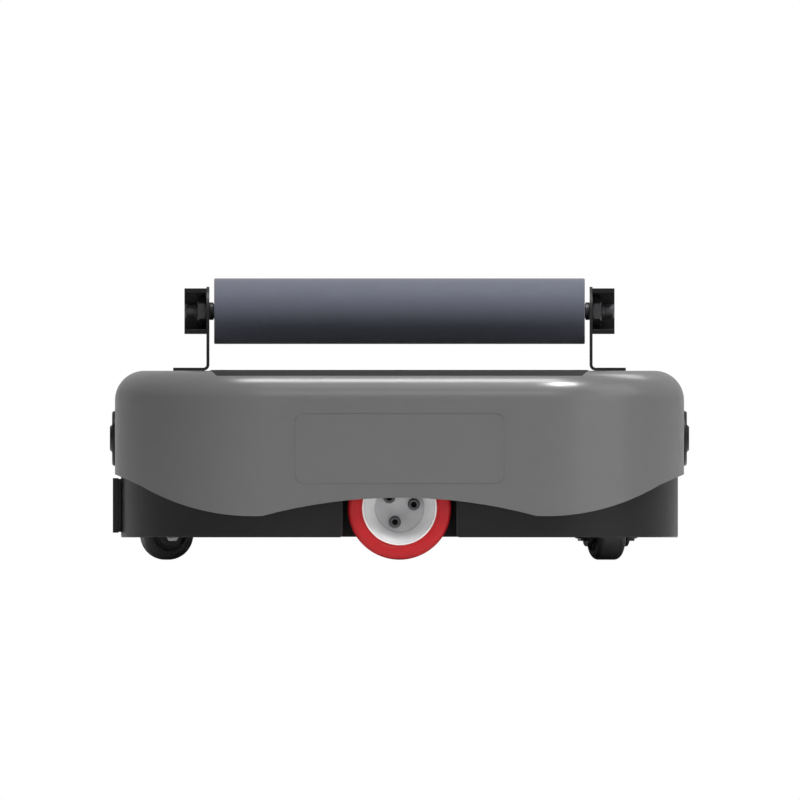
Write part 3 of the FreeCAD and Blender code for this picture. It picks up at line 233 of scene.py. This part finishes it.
LOOKS = {
    "cover": dict(colour=(0.112, 0.112, 0.112), roughness=0.23, specular=0.5, grain=0.015,
                  grain_scale=40, rough_spread=0.015, bump=0.0000006, bump_scale=500),
    "lid": dict(colour=(0.017, 0.017, 0.0175), roughness=0.5, specular=0.14, grain=0.03,
                bump=0.000006, bump_scale=1400),
    "black_panel": dict(colour=(0.010, 0.010, 0.011), roughness=0.22, grain=0.06,
                        bump=0.000003, bump_scale=700, rough_spread=0.05),
    "black_plastic": dict(colour=(0.0055, 0.0055, 0.006), roughness=0.36, specular=0.28,
                          grain=0.08, bump=0.000012, bump_scale=1500, edge=0.0006),
    "dark_liner": dict(colour=(0.016, 0.013, 0.013), roughness=0.6, specular=0.25,
                       grain=0.12, bump=0.00002, bump_scale=1100, edge=0.0006),
    "steel_plate": dict(colour=(0.10, 0.105, 0.11), roughness=0.45, metallic=0.6, grain=0.1,
                        bump=0.00001, edge=0.0004, wear=0.2),
    "bracket_black": dict(colour=(0.012, 0.012, 0.012), roughness=0.45, specular=0.3,
                          grain=0.12, bump=0.00001, bump_scale=2200, edge=0.0002),
    "zinc_steel": dict(colour=(0.56, 0.56, 0.57), roughness=0.28, metallic=1.0, grain=0.1,
                       grain_scale=220, bump=0.000006, bump_scale=2000, edge=0.0003),
    "dark_steel": dict(colour=(0.10, 0.10, 0.105), roughness=0.40, metallic=0.8,
                       grain=0.12, grain_scale=300, bump=0.000006, edge=0.0003),
    "roller_rubber": dict(colour=(0.076, 0.082, 0.108), roughness=0.62, specular=0.12,
                          grain=0.035, grain_scale=90, bump=0.000012, bump_scale=1800,
                          sheen=0.35),
    "tyre_red": dict(colour=(0.43, 0.010, 0.014), roughness=0.42, specular=0.28, grain=0.05,
                     grain_scale=120, bump=0.000008, bump_scale=1200),
    "hub_grey": dict(colour=(0.40, 0.40, 0.41), roughness=0.34, specular=0.45, grain=0.03,
                     grain_scale=160, bump=0.000008, bump_scale=1600, edge=0.0003),
    "hub_rim": dict(colour=(0.86, 0.80, 0.79), roughness=0.3, specular=0.5, grain=0.02,
                    grain_scale=160, bump=0.000004, bump_scale=1600),
    # dish_wall_painted_highlight: the hub's grey made lighter for the dish's slope, a painted
    # highlight where the slope faces the lights
    "dish_wall_painted_highlight": dict(colour=(0.67, 0.67, 0.68), roughness=0.36, specular=0.4, grain=0.03,
                      grain_scale=160, bump=0.000008, bump_scale=1600),
    # socket_painted_shade: near-black cups in the screw sockets, painted shade in the
    # recesses
    "socket_painted_shade": dict(colour=(0.004, 0.004, 0.004), roughness=0.7, specular=0.1,
                         grain=0.1),
    "axle_black": dict(colour=(0.07, 0.07, 0.074), roughness=0.42, metallic=0.6,
                       specular=0.4, grain=0.1, grain_scale=220, bump=0.000006,
                       bump_scale=2000, edge=0.0003),
    # caster_black and caster_tread are lighter than the casters' black: partly their own grey
    # and partly painted light, standing in for light from the floor that the pan blocks
    "caster_black": dict(colour=(0.085, 0.085, 0.088), roughness=0.45, grain=0.1,
                         bump=0.00001, edge=0.0006),
    "caster_tread": dict(colour=(0.15, 0.15, 0.153), roughness=0.55, grain=0.1,
                         bump=0.000012, bump_scale=1300),
    "lens": dict(colour=(0.006, 0.006, 0.010), roughness=0.06, coat=1.0, grain=0.05,
                 bump=0.0000005, rough_spread=0.01),
    "copper": dict(colour=(0.72, 0.38, 0.20), roughness=0.24, metallic=1.0, grain=0.08,
                   streak=(1, 8, 40), bump=0.000003),
    "aluminium": dict(colour=(0.62, 0.62, 0.64), roughness=0.34, metallic=1.0, grain=0.06,
                      grain_scale=200, bump=0.000005, edge=0.0003),
    "motor": dict(colour=(0.26, 0.26, 0.27), roughness=0.36, metallic=0.9, grain=0.08,
                  grain_scale=120, bump=0.000006, edge=0.0004),
    "tray": dict(colour=(0.030, 0.030, 0.034), roughness=0.5, grain=0.1, bump=0.000015,
                 edge=0.0005),
    "bin": dict(colour=(0.075, 0.08, 0.09), roughness=0.16, coat=0.4, grain=0.03,
                bump=0.000003, edge=0.0005, transmission=0.25),
    "bristle": dict(colour=(0.03, 0.03, 0.034), roughness=0.5, grain=0.3, grain_scale=500,
                    sheen=0.2),
    "battery": dict(colour=(0.016, 0.022, 0.036), roughness=0.3, grain=0.08,
                    bump=0.00002, bump_scale=260, edge=0.0008),
    "gasket": dict(colour=(0.075, 0.075, 0.075), roughness=0.5, specular=0.2, grain=0.03),
    "board": dict(colour=(0.010, 0.075, 0.035), roughness=0.3, grain=0.35, grain_scale=420,
                  bump=0.00002, bump_scale=300),
}
MATERIALS = {slot: surface(slot, **look) for slot, look in LOOKS.items()}


def paint_frame():
    """Give each CAD node the material of its slot."""
    for part in frame["record"]["subparts"]:
        node = NODES[part["node"]]
        node.data.materials.clear()
        node.data.materials.append(MATERIALS[part["material_slot"]])


# ---------------------------------------------------------------- shapes


AXES = {
    "X": Matrix(((0, 0, 1), (0, 1, 0), (-1, 0, 0))),
    "-X": Matrix(((0, 0, -1), (0, 1, 0), (1, 0, 0))),
    "Y": Matrix(((1, 0, 0), (0, 0, 1), (0, -1, 0))),
    "-Y": Matrix(((1, 0, 0), (0, 0, -1), (0, 1, 0))),
    "Z": Matrix(((1, 0, 0), (0, 1, 0), (0, 0, 1))),
    "-Z": Matrix(((1, 0, 0), (0, -1, 0), (0, 0, -1))),
}


def moved(shape, at, axis="Z", roll=0.0):
    """Turn a shape's own Z to an axis, after rolling it, and carry it to a point."""
    points, faces = shape
    turn = AXES[axis] @ Matrix.Rotation(math.radians(roll), 3, "Z")
    start = Vector(at)
    return [turn @ Vector(point) + start for point in points], faces


def merged(shapes):
    """Several shapes as one."""
    points, faces = [], []
    for more_points, more_faces in shapes:
        shift = len(points)
        points.extend(more_points)
        faces.extend(tuple(index + shift for index in face) for face in more_faces)
    return points, faces


def lathe(profile, count=96, closed=True, radius_at=None):
    """Turn a profile of (radius, height) round Z.

    radius_at(angle, radius, height) may change the radius, for hexagons and knurls.
    Points on the axis become one vertex each.
    """
    points, rings, faces = [], [], []
    for radius, height in profile:
        if radius <= 0:
            rings.append([len(points)] * count)
            points.append((0, 0, height))
            continue
        rings.append(list(range(len(points), len(points) + count)))
        for step in range(count):
            angle = 2 * math.pi * step / count
            reach = radius_at(angle, radius, height) if radius_at else radius
            points.append((reach * math.cos(angle), reach * math.sin(angle), height))
    pairs = list(zip(rings, rings[1:]))
    if closed:
        pairs.append((rings[-1], rings[0]))
    for lower, upper in pairs:
        for step in range(count):
            following = (step + 1) % count
            loop = (lower[step], lower[following], upper[following], upper[step])
            face = tuple(dict.fromkeys(loop))
            if len(face) > 2:
                faces.append(face)
    return points, faces


def arc(centre, radius, start, end, steps=8):
    """Points of an arc in a profile; angles in degrees."""
    return [(centre[0] + radius * math.cos(math.radians(start + (end - start) * i / steps)),
             centre[1] + radius * math.sin(math.radians(start + (end - start) * i / steps)))
            for i in range(steps + 1)]


def hexagon(angle, flats):
    """How far a hexagon of that width across flats reaches at an angle."""
    sector = (angle + math.pi / 6) % (math.pi / 3) - math.pi / 6
    return flats / 2 / math.cos(sector)


def rounded_outline(half_x, half_y, corner, steps=10):
    """Points round a rounded rectangle."""
    points = []
    for quarter, (sign_x, sign_y) in enumerate(((1, 1), (-1, 1), (-1, -1), (1, -1))):
        for step in range(steps + 1):
            angle = math.pi / 2 * (quarter + step / steps)
            points.append((sign_x * (half_x - corner) + corner * math.cos(angle),
                           sign_y * (half_y - corner) + corner * math.sin(angle)))
    return points


def band(outer, inner, low, high):
    """A frame between two outlines of equal length, from one height to another."""
    count = len(outer)
    points = [(x, y, height) for height in (low, high) for outline in (outer, inner)
              for x, y in outline]
    faces = []
    for step in range(count):
        following = (step + 1) % count
        corners = [(row * count + step, row * count + following) for row in range(4)]
        (a, b), (c, d), (e, f), (g, h) = corners
        faces += [(a, c, d, b), (e, f, h, g), (a, b, f, e), (c, g, h, d)]
    return points, faces


def slab(low, high, edge=0.6):
    """A box with its twelve edges cut off."""
    points, index = [], {}
    for corner in range(8):
        signs = [1 if corner >> place & 1 else -1 for place in range(3)]
        for axis in range(3):
            point = [high[i] if signs[i] > 0 else low[i] for i in range(3)]
            for other in range(3):
                if other != axis:
                    point[other] -= signs[other] * edge
            index[corner, axis] = len(points)
            points.append(tuple(point))
    faces = [tuple(index[corner, axis] for axis in range(3)) for corner in range(8)]
    for axis in range(3):
        first, second = [other for other in range(3) if other != axis]
        for side in (0, 1):
            faces.append(tuple(index[side << axis | u << first | v << second, axis]
                               for u, v in ((0, 0), (1, 0), (1, 1), (0, 1))))
        for u in (0, 1):
            for v in (0, 1):
                start = u << first | v << second
                end = start | 1 << axis
                faces.append((index[start, first], index[end, first],
                              index[end, second], index[start, second]))
    return points, faces


def piece(name, body, slot, shape, replaced=(), sharp=32, look=None):
    """Make a named piece that rides on a body, from a shape in millimetres."""
    points, faces = shape
    mesh = bpy.data.meshes.new(name)
    mesh.from_pydata([tuple(part * MM for part in point) for point in points], [], faces)
    tidy = bmesh.new()
    tidy.from_mesh(mesh)
    bmesh.ops.recalc_face_normals(tidy, faces=tidy.faces)
    tidy.to_mesh(mesh)
    tidy.free()
    mesh.shade_smooth()
    mesh.set_sharp_from_angle(angle=math.radians(sharp))
    mesh.materials.append(MATERIALS[look or slot])
    item = bpy.data.objects.new(name, mesh)
    bpy.context.collection.objects.link(item)
    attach(item, body)
    if replaced:
        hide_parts(*replaced)
    return item


# ---------------------------------------------------------------- fasteners


def chamfered_nut(flats, wall, bore):
    """A hexagon nut with both faces chamfered and a countersunk bore."""
    corner = flats / math.sqrt(3)
    slope = math.sqrt(3)
    drop = (corner - flats / 2) / slope
    steps = [drop * part / 4 for part in range(5)]
    outer = [(flats / 2 * 0.985, 0.0)] + [(flats / 2 + slope * step, step) for step in steps]
    outer += [(flats / 2 + slope * step, wall - step) for step in reversed(steps)]
    outer += [(flats / 2 * 0.985, wall)]
    inner = [(bore + 0.7, wall), (bore, wall - 0.7), (bore, 0.7), (bore + 0.7, 0.0)]

    def radius_at(angle, radius, height):
        return min(radius, hexagon(angle, flats)) if radius > bore + 1 else radius
    return lathe(outer + inner, 96, radius_at=radius_at)


def cap_screw(head, height, socket, depth, washer, washer_wall, knurls=26):
    """A socket-head screw on its washer: knurled head, hexagon socket."""
    top = washer_wall + height
    profile = [
        (0.0, top - depth), (socket - 0.2, top - depth), (socket, top - depth + 0.3),
        (socket, top - 0.35), (socket + 0.35, top), (head - 0.9, top), (head, top - 0.8),
        (head, top - 1.2), (head, washer_wall + 0.6), (head - 0.3, washer_wall),
        (washer - 0.3, washer_wall), (washer, washer_wall - 0.3), (washer, 0.0),
        (0.0, 0.0),
    ]

    def radius_at(angle, radius, place_height):
        if abs(radius - head) < 0.01 and place_height < top - 1:
            return radius - 0.14 * (1 - math.cos(knurls * angle))
        if radius <= socket and place_height > top - depth + 0.1:
            return hexagon(angle, radius * math.sqrt(3))
        return radius
    return lathe(profile, 130, closed=False, radius_at=radius_at)


def socket_shade_cup(socket, low, high):
    """A black hexagonal cup in a screw's socket: painted shade, darkening the recess."""
    profile = [(0.0, low), (socket, low), (socket, high), (socket - 0.25, high),
               (socket - 0.4, low + 0.3), (0.0, low + 0.2)]
    return lathe(profile, 48, closed=False,
                 radius_at=lambda angle, reach, height: hexagon(angle, reach * math.sqrt(3)))


def flat_screw(radius, socket):
    """A flush screw head with a hexagon socket, its face at height 0."""
    profile = [(0.0, -1.4), (socket, -1.4), (socket, -0.1), (socket + 0.2, 0.0),
               (radius - 0.3, 0.0), (radius, -0.25), (radius, -0.9), (0.0, -1.6)]

    def radius_at(angle, reach, height):
        return hexagon(angle, reach * math.sqrt(3)) if reach == socket else reach
    return lathe(profile, 48, closed=False, radius_at=radius_at)


def threaded(radius, start, end, pitch=1.5, depth=0.55):
    """Profile points of a thread from start to end."""
    points = []
    for turn in range(int((end - start) / pitch)):
        base = start + turn * pitch
        points += [(radius, base), (radius, base + 0.25 * pitch),
                   (radius - depth, base + 0.5 * pitch), (radius, base + 0.75 * pitch)]
    return points


# ---------------------------------------------------------------- roller


ROLLER_HEIGHT = 244.6
AXLE_END, AXLE_RADIUS = 211.5, 7.0
NUT_FLATS, NUT_WALL, BRACKET_FACE = 26.0, 8.7, 190.0
SPACER_START, SPACER_END, SPACER_RADIUS = 182.8, 187.0, 8.7


def roller_pieces():
    """Axle with a turned groove at each end, chamfered nuts and spacers."""
    thread_end = BRACKET_FACE + NUT_WALL + 3.0
    half = [(AXLE_RADIUS - 2.2, AXLE_END), (AXLE_RADIUS - 0.8, AXLE_END - 0.5),
            (AXLE_RADIUS, AXLE_END - 1.6), (AXLE_RADIUS, thread_end + 0.8),
            (AXLE_RADIUS - 0.6, thread_end + 0.4), (AXLE_RADIUS - 0.6, thread_end)]
    half += list(reversed(threaded(AXLE_RADIUS, BRACKET_FACE - 1, thread_end)))
    profile = [(0.0, AXLE_END - 0.4), (AXLE_RADIUS - 3.6, AXLE_END - 0.2)] + half
    profile += [(radius, -height) for radius, height in reversed(profile)]
    piece("roller_axle_turned", "chassis", "zinc_steel",
          moved(lathe(profile, 64, closed=False), (0, 0, ROLLER_HEIGHT), "X"),
          ["roller_axle"], sharp=25, look="axle_black")
    shapes = []
    spacer_wall = SPACER_END - SPACER_START
    spacer = [(AXLE_RADIUS, 0.0), (SPACER_RADIUS - 0.5, 0.0), (SPACER_RADIUS, 0.5),
              (SPACER_RADIUS, spacer_wall - 0.5), (SPACER_RADIUS - 0.5, spacer_wall),
              (AXLE_RADIUS, spacer_wall)]
    for side, axis in ((1, "X"), (-1, "-X")):
        shapes.append(moved(chamfered_nut(NUT_FLATS, NUT_WALL, AXLE_RADIUS),
                            (side * BRACKET_FACE, 0, ROLLER_HEIGHT), axis, roll=30))
        shapes.append(moved(lathe(spacer, 64), (side * SPACER_START, 0, ROLLER_HEIGHT), axis))
    piece("axle_nuts_chamfered", "chassis", "zinc_steel", merged(shapes), ["axle_nuts"],
          look="axle_black")


# ---------------------------------------------------------------- drive wheels

WHEEL_HEIGHT, WHEEL_RADIUS, WHEEL_WIDTH = 51.0, 51.0, 32.0
WHEEL_INNER_FACE = 168.0
HUB_RADIUS, RIM_FACE, DISH_FACE = 37.0, 31.5, 20.0
BOLT_CIRCLE, BOLT_ANGLES = 14.5, (14, 134, 252)
# head radius and height, socket radius and depth, washer radius and thickness
SCREW_SIZES = (5.0, 6.0, 3.2, 4.0, 6.0, 1.2)
# radius, bottom and top of the black cups painted as shade in the screw sockets
SOCKET_SHADE_CUP = (3.05, 3.3, 5.6)


def drive_wheel_pieces(hand, side):
    """Tyre with its mould line, turned hub with rim and dish, three screws. A lighter ring on
    the dish's slope is a painted highlight, and black cups in the screw sockets are painted
    shade.
    """
    axis = "Y" if side > 0 else "-Y"
    at = (0, side * WHEEL_INNER_FACE, WHEEL_HEIGHT)
    body = f"{hand}_drive_wheel"
    shoulder, mid = 5.0, WHEEL_WIDTH / 2
    tyre = [(HUB_RADIUS, 0.0), (HUB_RADIUS + 1.2, 0.0), (HUB_RADIUS + 1.6, 0.35),
            (HUB_RADIUS + 2.2, 0.35), (HUB_RADIUS + 2.6, 0.0)]
    tyre += arc((WHEEL_RADIUS - shoulder, shoulder), shoulder, -90, 0)
    tyre += [(WHEEL_RADIUS, mid - 0.5), (WHEEL_RADIUS - 0.25, mid - 0.2),
             (WHEEL_RADIUS - 0.25, mid + 0.2), (WHEEL_RADIUS, mid + 0.5)]
    tyre += arc((WHEEL_RADIUS - shoulder, WHEEL_WIDTH - shoulder), shoulder, 0, 90)
    tyre += [(HUB_RADIUS + 2.6, WHEEL_WIDTH), (HUB_RADIUS + 2.2, WHEEL_WIDTH - 0.35),
             (HUB_RADIUS + 1.6, WHEEL_WIDTH - 0.35), (HUB_RADIUS + 1.2, WHEEL_WIDTH),
             (HUB_RADIUS, WHEEL_WIDTH)]
    piece(f"{hand}_tyre_moulded", body, "tyre_red", moved(lathe(tyre, 160), at, axis),
          [f"{hand}_drive_tyre"])
    hub = [(0.0, 0.0), (HUB_RADIUS, 0.0), (HUB_RADIUS, RIM_FACE - 0.4),
           (HUB_RADIUS - 0.4, RIM_FACE), (HUB_RADIUS - 1.7, RIM_FACE),
           (HUB_RADIUS - 2.0, RIM_FACE - 0.3)]
    slope = [(34.5, 30.0), (33.2, 28.9), (31.0, 27.0), (28.5, 24.7), (26.2, 22.5),
             (24.6, 21.0), (23.4, 20.25)]
    hub += slope + [(22.4, DISH_FACE), (9.0, DISH_FACE), (8.6, DISH_FACE - 0.3),
                    (0.0, DISH_FACE - 0.3)]
    piece(f"{hand}_hub_turned", body, "hub_grey",
          moved(lathe(hub, 144, closed=False), at, axis), [f"{hand}_drive_hub"], sharp=40)
    ring = [(HUB_RADIUS - 1.8, RIM_FACE - 0.3), (HUB_RADIUS - 0.35, RIM_FACE - 0.3),
            (HUB_RADIUS - 0.35, RIM_FACE + 0.15), (HUB_RADIUS - 0.6, RIM_FACE + 0.35),
            (HUB_RADIUS - 1.5, RIM_FACE + 0.35), (HUB_RADIUS - 1.8, RIM_FACE + 0.1)]
    piece(f"{hand}_hub_rim_ring", body, "hub_grey", moved(lathe(ring, 144), at, axis),
          look="hub_rim")
    # a thin ring over the dish's slope, lighter grey than the hub: painted highlight
    lining = [(HUB_RADIUS - 2.0, RIM_FACE - 0.3)] + slope[:-1]
    wall = [(radius - 0.1, height + 0.12) for radius, height in lining]
    wall += [(radius + 0.05, height - 0.3) for radius, height in reversed(lining)]
    piece(f"{hand}_dish_wall_painted_highlight", body, "hub_grey", moved(lathe(wall, 144), at, axis),
          look="dish_wall_painted_highlight", sharp=50)
    screws, socket_shades = [], []
    for angle in BOLT_ANGLES:
        spot = (BOLT_CIRCLE * math.cos(math.radians(angle)),
                side * (WHEEL_INNER_FACE + DISH_FACE),
                WHEEL_HEIGHT + BOLT_CIRCLE * math.sin(math.radians(angle)))
        screws.append(moved(cap_screw(*SCREW_SIZES), spot, axis, roll=angle))
        socket_shades.append(moved(socket_shade_cup(*SOCKET_SHADE_CUP), spot, axis, roll=angle))
    piece(f"{hand}_cap_screws", body, "dark_steel", merged(screws), [f"{hand}_hub_bolts"])
    # black cups in the sockets: painted shade
    piece(f"{hand}_screw_socket_shades", body, "dark_steel", merged(socket_shades), look="socket_painted_shade")


# ---------------------------------------------------------------- casters

CASTER_HEIGHT, CASTER_TRAIL, CASTER_SPACING = 25.0, 20.0, 209.5
RIB_COUNT, RIB_LOW, RIB_HIGH = 8, (9.2, -0.8, 10.2), (14.4, 0.8, 13.4)


def caster_pieces(end, side, yaw):
    """Ribs in the recesses on both faces of a caster's wheel."""
    centre = Vector((side * CASTER_SPACING, 0, 0))
    back = Matrix.Rotation(math.radians(yaw), 3, "Z") @ Vector((-CASTER_TRAIL, 0, 0))
    turn = Matrix.Rotation(math.radians(yaw), 3, "Z")
    shapes = []
    for face in (-1, 1):
        for step in range(RIB_COUNT):
            angle = 2 * math.pi * step / RIB_COUNT
            points, faces = slab(RIB_LOW, RIB_HIGH, 0.3)
            spin = Matrix.Rotation(angle, 3, "Z")
            shapes.append(([turn @ (AXES["Y"] @ Vector((p.x, p.y, p.z * face)))
                            for p in (spin @ Vector(point) for point in points)], faces))
    points, faces = merged(shapes)
    middle = centre + back + Vector((0, 0, CASTER_HEIGHT))
    piece(f"{end}_caster_ribs", f"{end}_caster_roller", "caster_black",
          ([point + middle for point in points], faces))


# ---------------------------------------------------------------- shell details

PANEL_HALF_X, PANEL_HALF_Z, PANEL_CORNER, PANEL_GAP = 102.75, 34.3, 9.0, 0.4
PANEL_CENTRE, SIDE_FACE = 109.3, 210.0
SENSOR_HEIGHT, GLASS_BACK, GLASS_EDGE = 119.4, 282.6, 283.3
GLASS_RADIUS, GLASS_DOME = 9.5, 1.4
BUTTON_PLACE = (119, 0, 110)
TOP_SCREW_HEIGHT, PAN_SCREW_HEIGHT = 186.86, 22.5


def drawer_gasket():
    """A soft lip in the gap round the dust drawer's front."""
    outer = rounded_outline(PANEL_HALF_X + PANEL_GAP, PANEL_HALF_Z + PANEL_GAP,
                            PANEL_CORNER + PANEL_GAP)
    inner = rounded_outline(PANEL_HALF_X + 0.02, PANEL_HALF_Z + 0.02, PANEL_CORNER + 0.02)
    drawer = band(outer, inner, SIDE_FACE - 2.8, SIDE_FACE - 0.12)
    piece("drawer_gasket", "chassis", "cover", moved(drawer, (0, 0, PANEL_CENTRE), "-Y"),
          look="gasket")


def sensor_pieces(end, side):
    """A ringed lens: a chamfered holder, a recess and a domed glass."""
    axis = "X" if side > 0 else "-X"
    at = (0, 0, SENSOR_HEIGHT)
    holder = [(0.0, 266.0), (13.5, 266.0), (13.5, 283.0), (11.5, 285.0), (10.4, 285.0),
              (10.0, 284.6), (9.6, 283.0), (0.0, 283.0)]
    piece(f"{end}_lens_holder", "chassis", "black_plastic",
          moved(lathe(holder, 96, closed=False), at, axis), [f"{end}_sensor_lens"])
    glass = [(0.0, GLASS_BACK), (GLASS_RADIUS, GLASS_BACK), (GLASS_RADIUS, GLASS_EDGE)]
    glass += [(GLASS_RADIUS * math.cos(math.radians(angle)),
               GLASS_EDGE + GLASS_DOME * math.sin(math.radians(angle)))
              for angle in range(15, 90, 15)]
    glass += [(0.0, GLASS_EDGE + GLASS_DOME)]
    piece(f"{end}_lens_glass", "chassis", "lens",
          moved(lathe(glass, 96, closed=False), at, axis))


def flush_screws():
    """Screws at the edge of the top panel and round the pan."""
    top = [(x, y) for x in (-174, 0, 174) for y in (-153, 153)]
    heads = [moved(flat_screw(3.6, 1.3), (x, y, TOP_SCREW_HEIGHT)) for x, y in top]
    piece("top_panel_screws", "chassis", "dark_steel", merged(heads))
    below = [(x, y) for x in (-150, -80) for y in (-120, 0, 120)]
    below += [(165, -120), (165, 120), (-262, 0), (265, 0)]
    heads = [moved(flat_screw(4.2, 1.6), (x, y, PAN_SCREW_HEIGHT), "-Z") for x, y in below]
    piece("pan_screws", "chassis", "dark_steel", merged(heads))


def power_button_cap():
    """A dished button with a softened rim."""
    cap = [(0.0, 205.2), (8.0, 205.2), (8.0, 209.3)] + arc((7.3, 209.3), 0.7, 0, 90, 5)
    cap += [(6.4, 209.9), (5.2, 209.5), (3.0, 209.25), (0.0, 209.2)]
    piece("power_button_cap", "power_button", "black_plastic",
          moved(lathe(cap, 72, closed=False), BUTTON_PLACE, "Y"), ["power_button"])


# ---------------------------------------------------------------- brush and battery


BRUSH_PLACE = (108, 0, 44.6)
BRISTLE_ROOT, BRISTLE_TIP, BRISTLE_START, BRISTLE_LENGTH = 10.6, 19.9, -147.0, 232.0
TUFT_ROWS, TUFTS_ALONG, STRANDS, HELIX_TURNS = 5, 56, 7, 0.75
ROOT_WIDTH, TIP_WIDTH = 0.34, 0.2


def brush_tufts():
    """Helical rows of bristle tufts between two end collars."""
    draw = random.Random(11)
    shapes = []
    for row in range(TUFT_ROWS):
        for step in range(TUFTS_ALONG):
            share = (step + 0.5) / TUFTS_ALONG
            base_angle = 2 * math.pi * (row / TUFT_ROWS + share * HELIX_TURNS)
            for _ in range(STRANDS):
                angle = base_angle + draw.uniform(-0.09, 0.09)
                lean = draw.uniform(-0.05, 0.05)
                height = BRISTLE_START + BRISTLE_LENGTH * share + draw.uniform(-1.6, 1.6)
                tip = BRISTLE_TIP - draw.uniform(0, 0.7)
                points = []
                for radius, turn, width in ((BRISTLE_ROOT, angle, ROOT_WIDTH),
                                            (tip, angle + lean, TIP_WIDTH)):
                    out = Vector((math.cos(turn), math.sin(turn), 0))
                    across = Vector((-math.sin(turn), math.cos(turn), 0))
                    middle = out * radius + Vector((0, 0, height))
                    points += [middle + across * width,
                               middle + Vector((0, 0, width)),
                               middle - across * width,
                               middle - Vector((0, 0, width))]
                faces = [(0, 1, 5, 4), (1, 2, 6, 5), (2, 3, 7, 6), (3, 0, 4, 7), (4, 5, 6, 7)]
                shapes.append((points, faces))
    # a thin end collar at each end keeps the brush's full length
    for start in (-148.0, 88.0):
        shapes.append(lathe([(10.9, start), (14.5, start), (15.0, start + 0.5),
                             (15.0, start + 1.5), (14.5, start + 2.0), (10.9, start + 2.0)],
                            64))
    piece("brush_tufts", "brush", "bristle",
          moved(merged(shapes), BRUSH_PLACE, "Y"), ["brush_bristles"])


def battery_case():
    """The battery's case: softened edges, ribs across it and a pull grip."""
    shapes = [slab((-95, 24, 109.5), (60, 198, 138.3), 2.0)]
    for rib in range(7):
        start = 40 + rib * 22
        shapes.append(slab((-90, start, 137.0), (55, start + 8, 139.5), 0.8))
    shapes.append(slab((-38, 190, 118), (3, 198, 130), 1.5))
    piece("battery_case", "chassis", "battery", merged(shapes), ["battery_pack"])


paint_frame()
roller_pieces()
for hand, side in (("right", -1), ("left", 1)):
    drive_wheel_pieces(hand, side)
caster_pieces("front", 1, -72)
caster_pieces("rear", -1, 12)
for end, side in (("front", 1), ("rear", -1)):
    sensor_pieces(end, side)
drawer_gasket()
flush_screws()
power_button_cap()
brush_tufts()
battery_case()
studio()
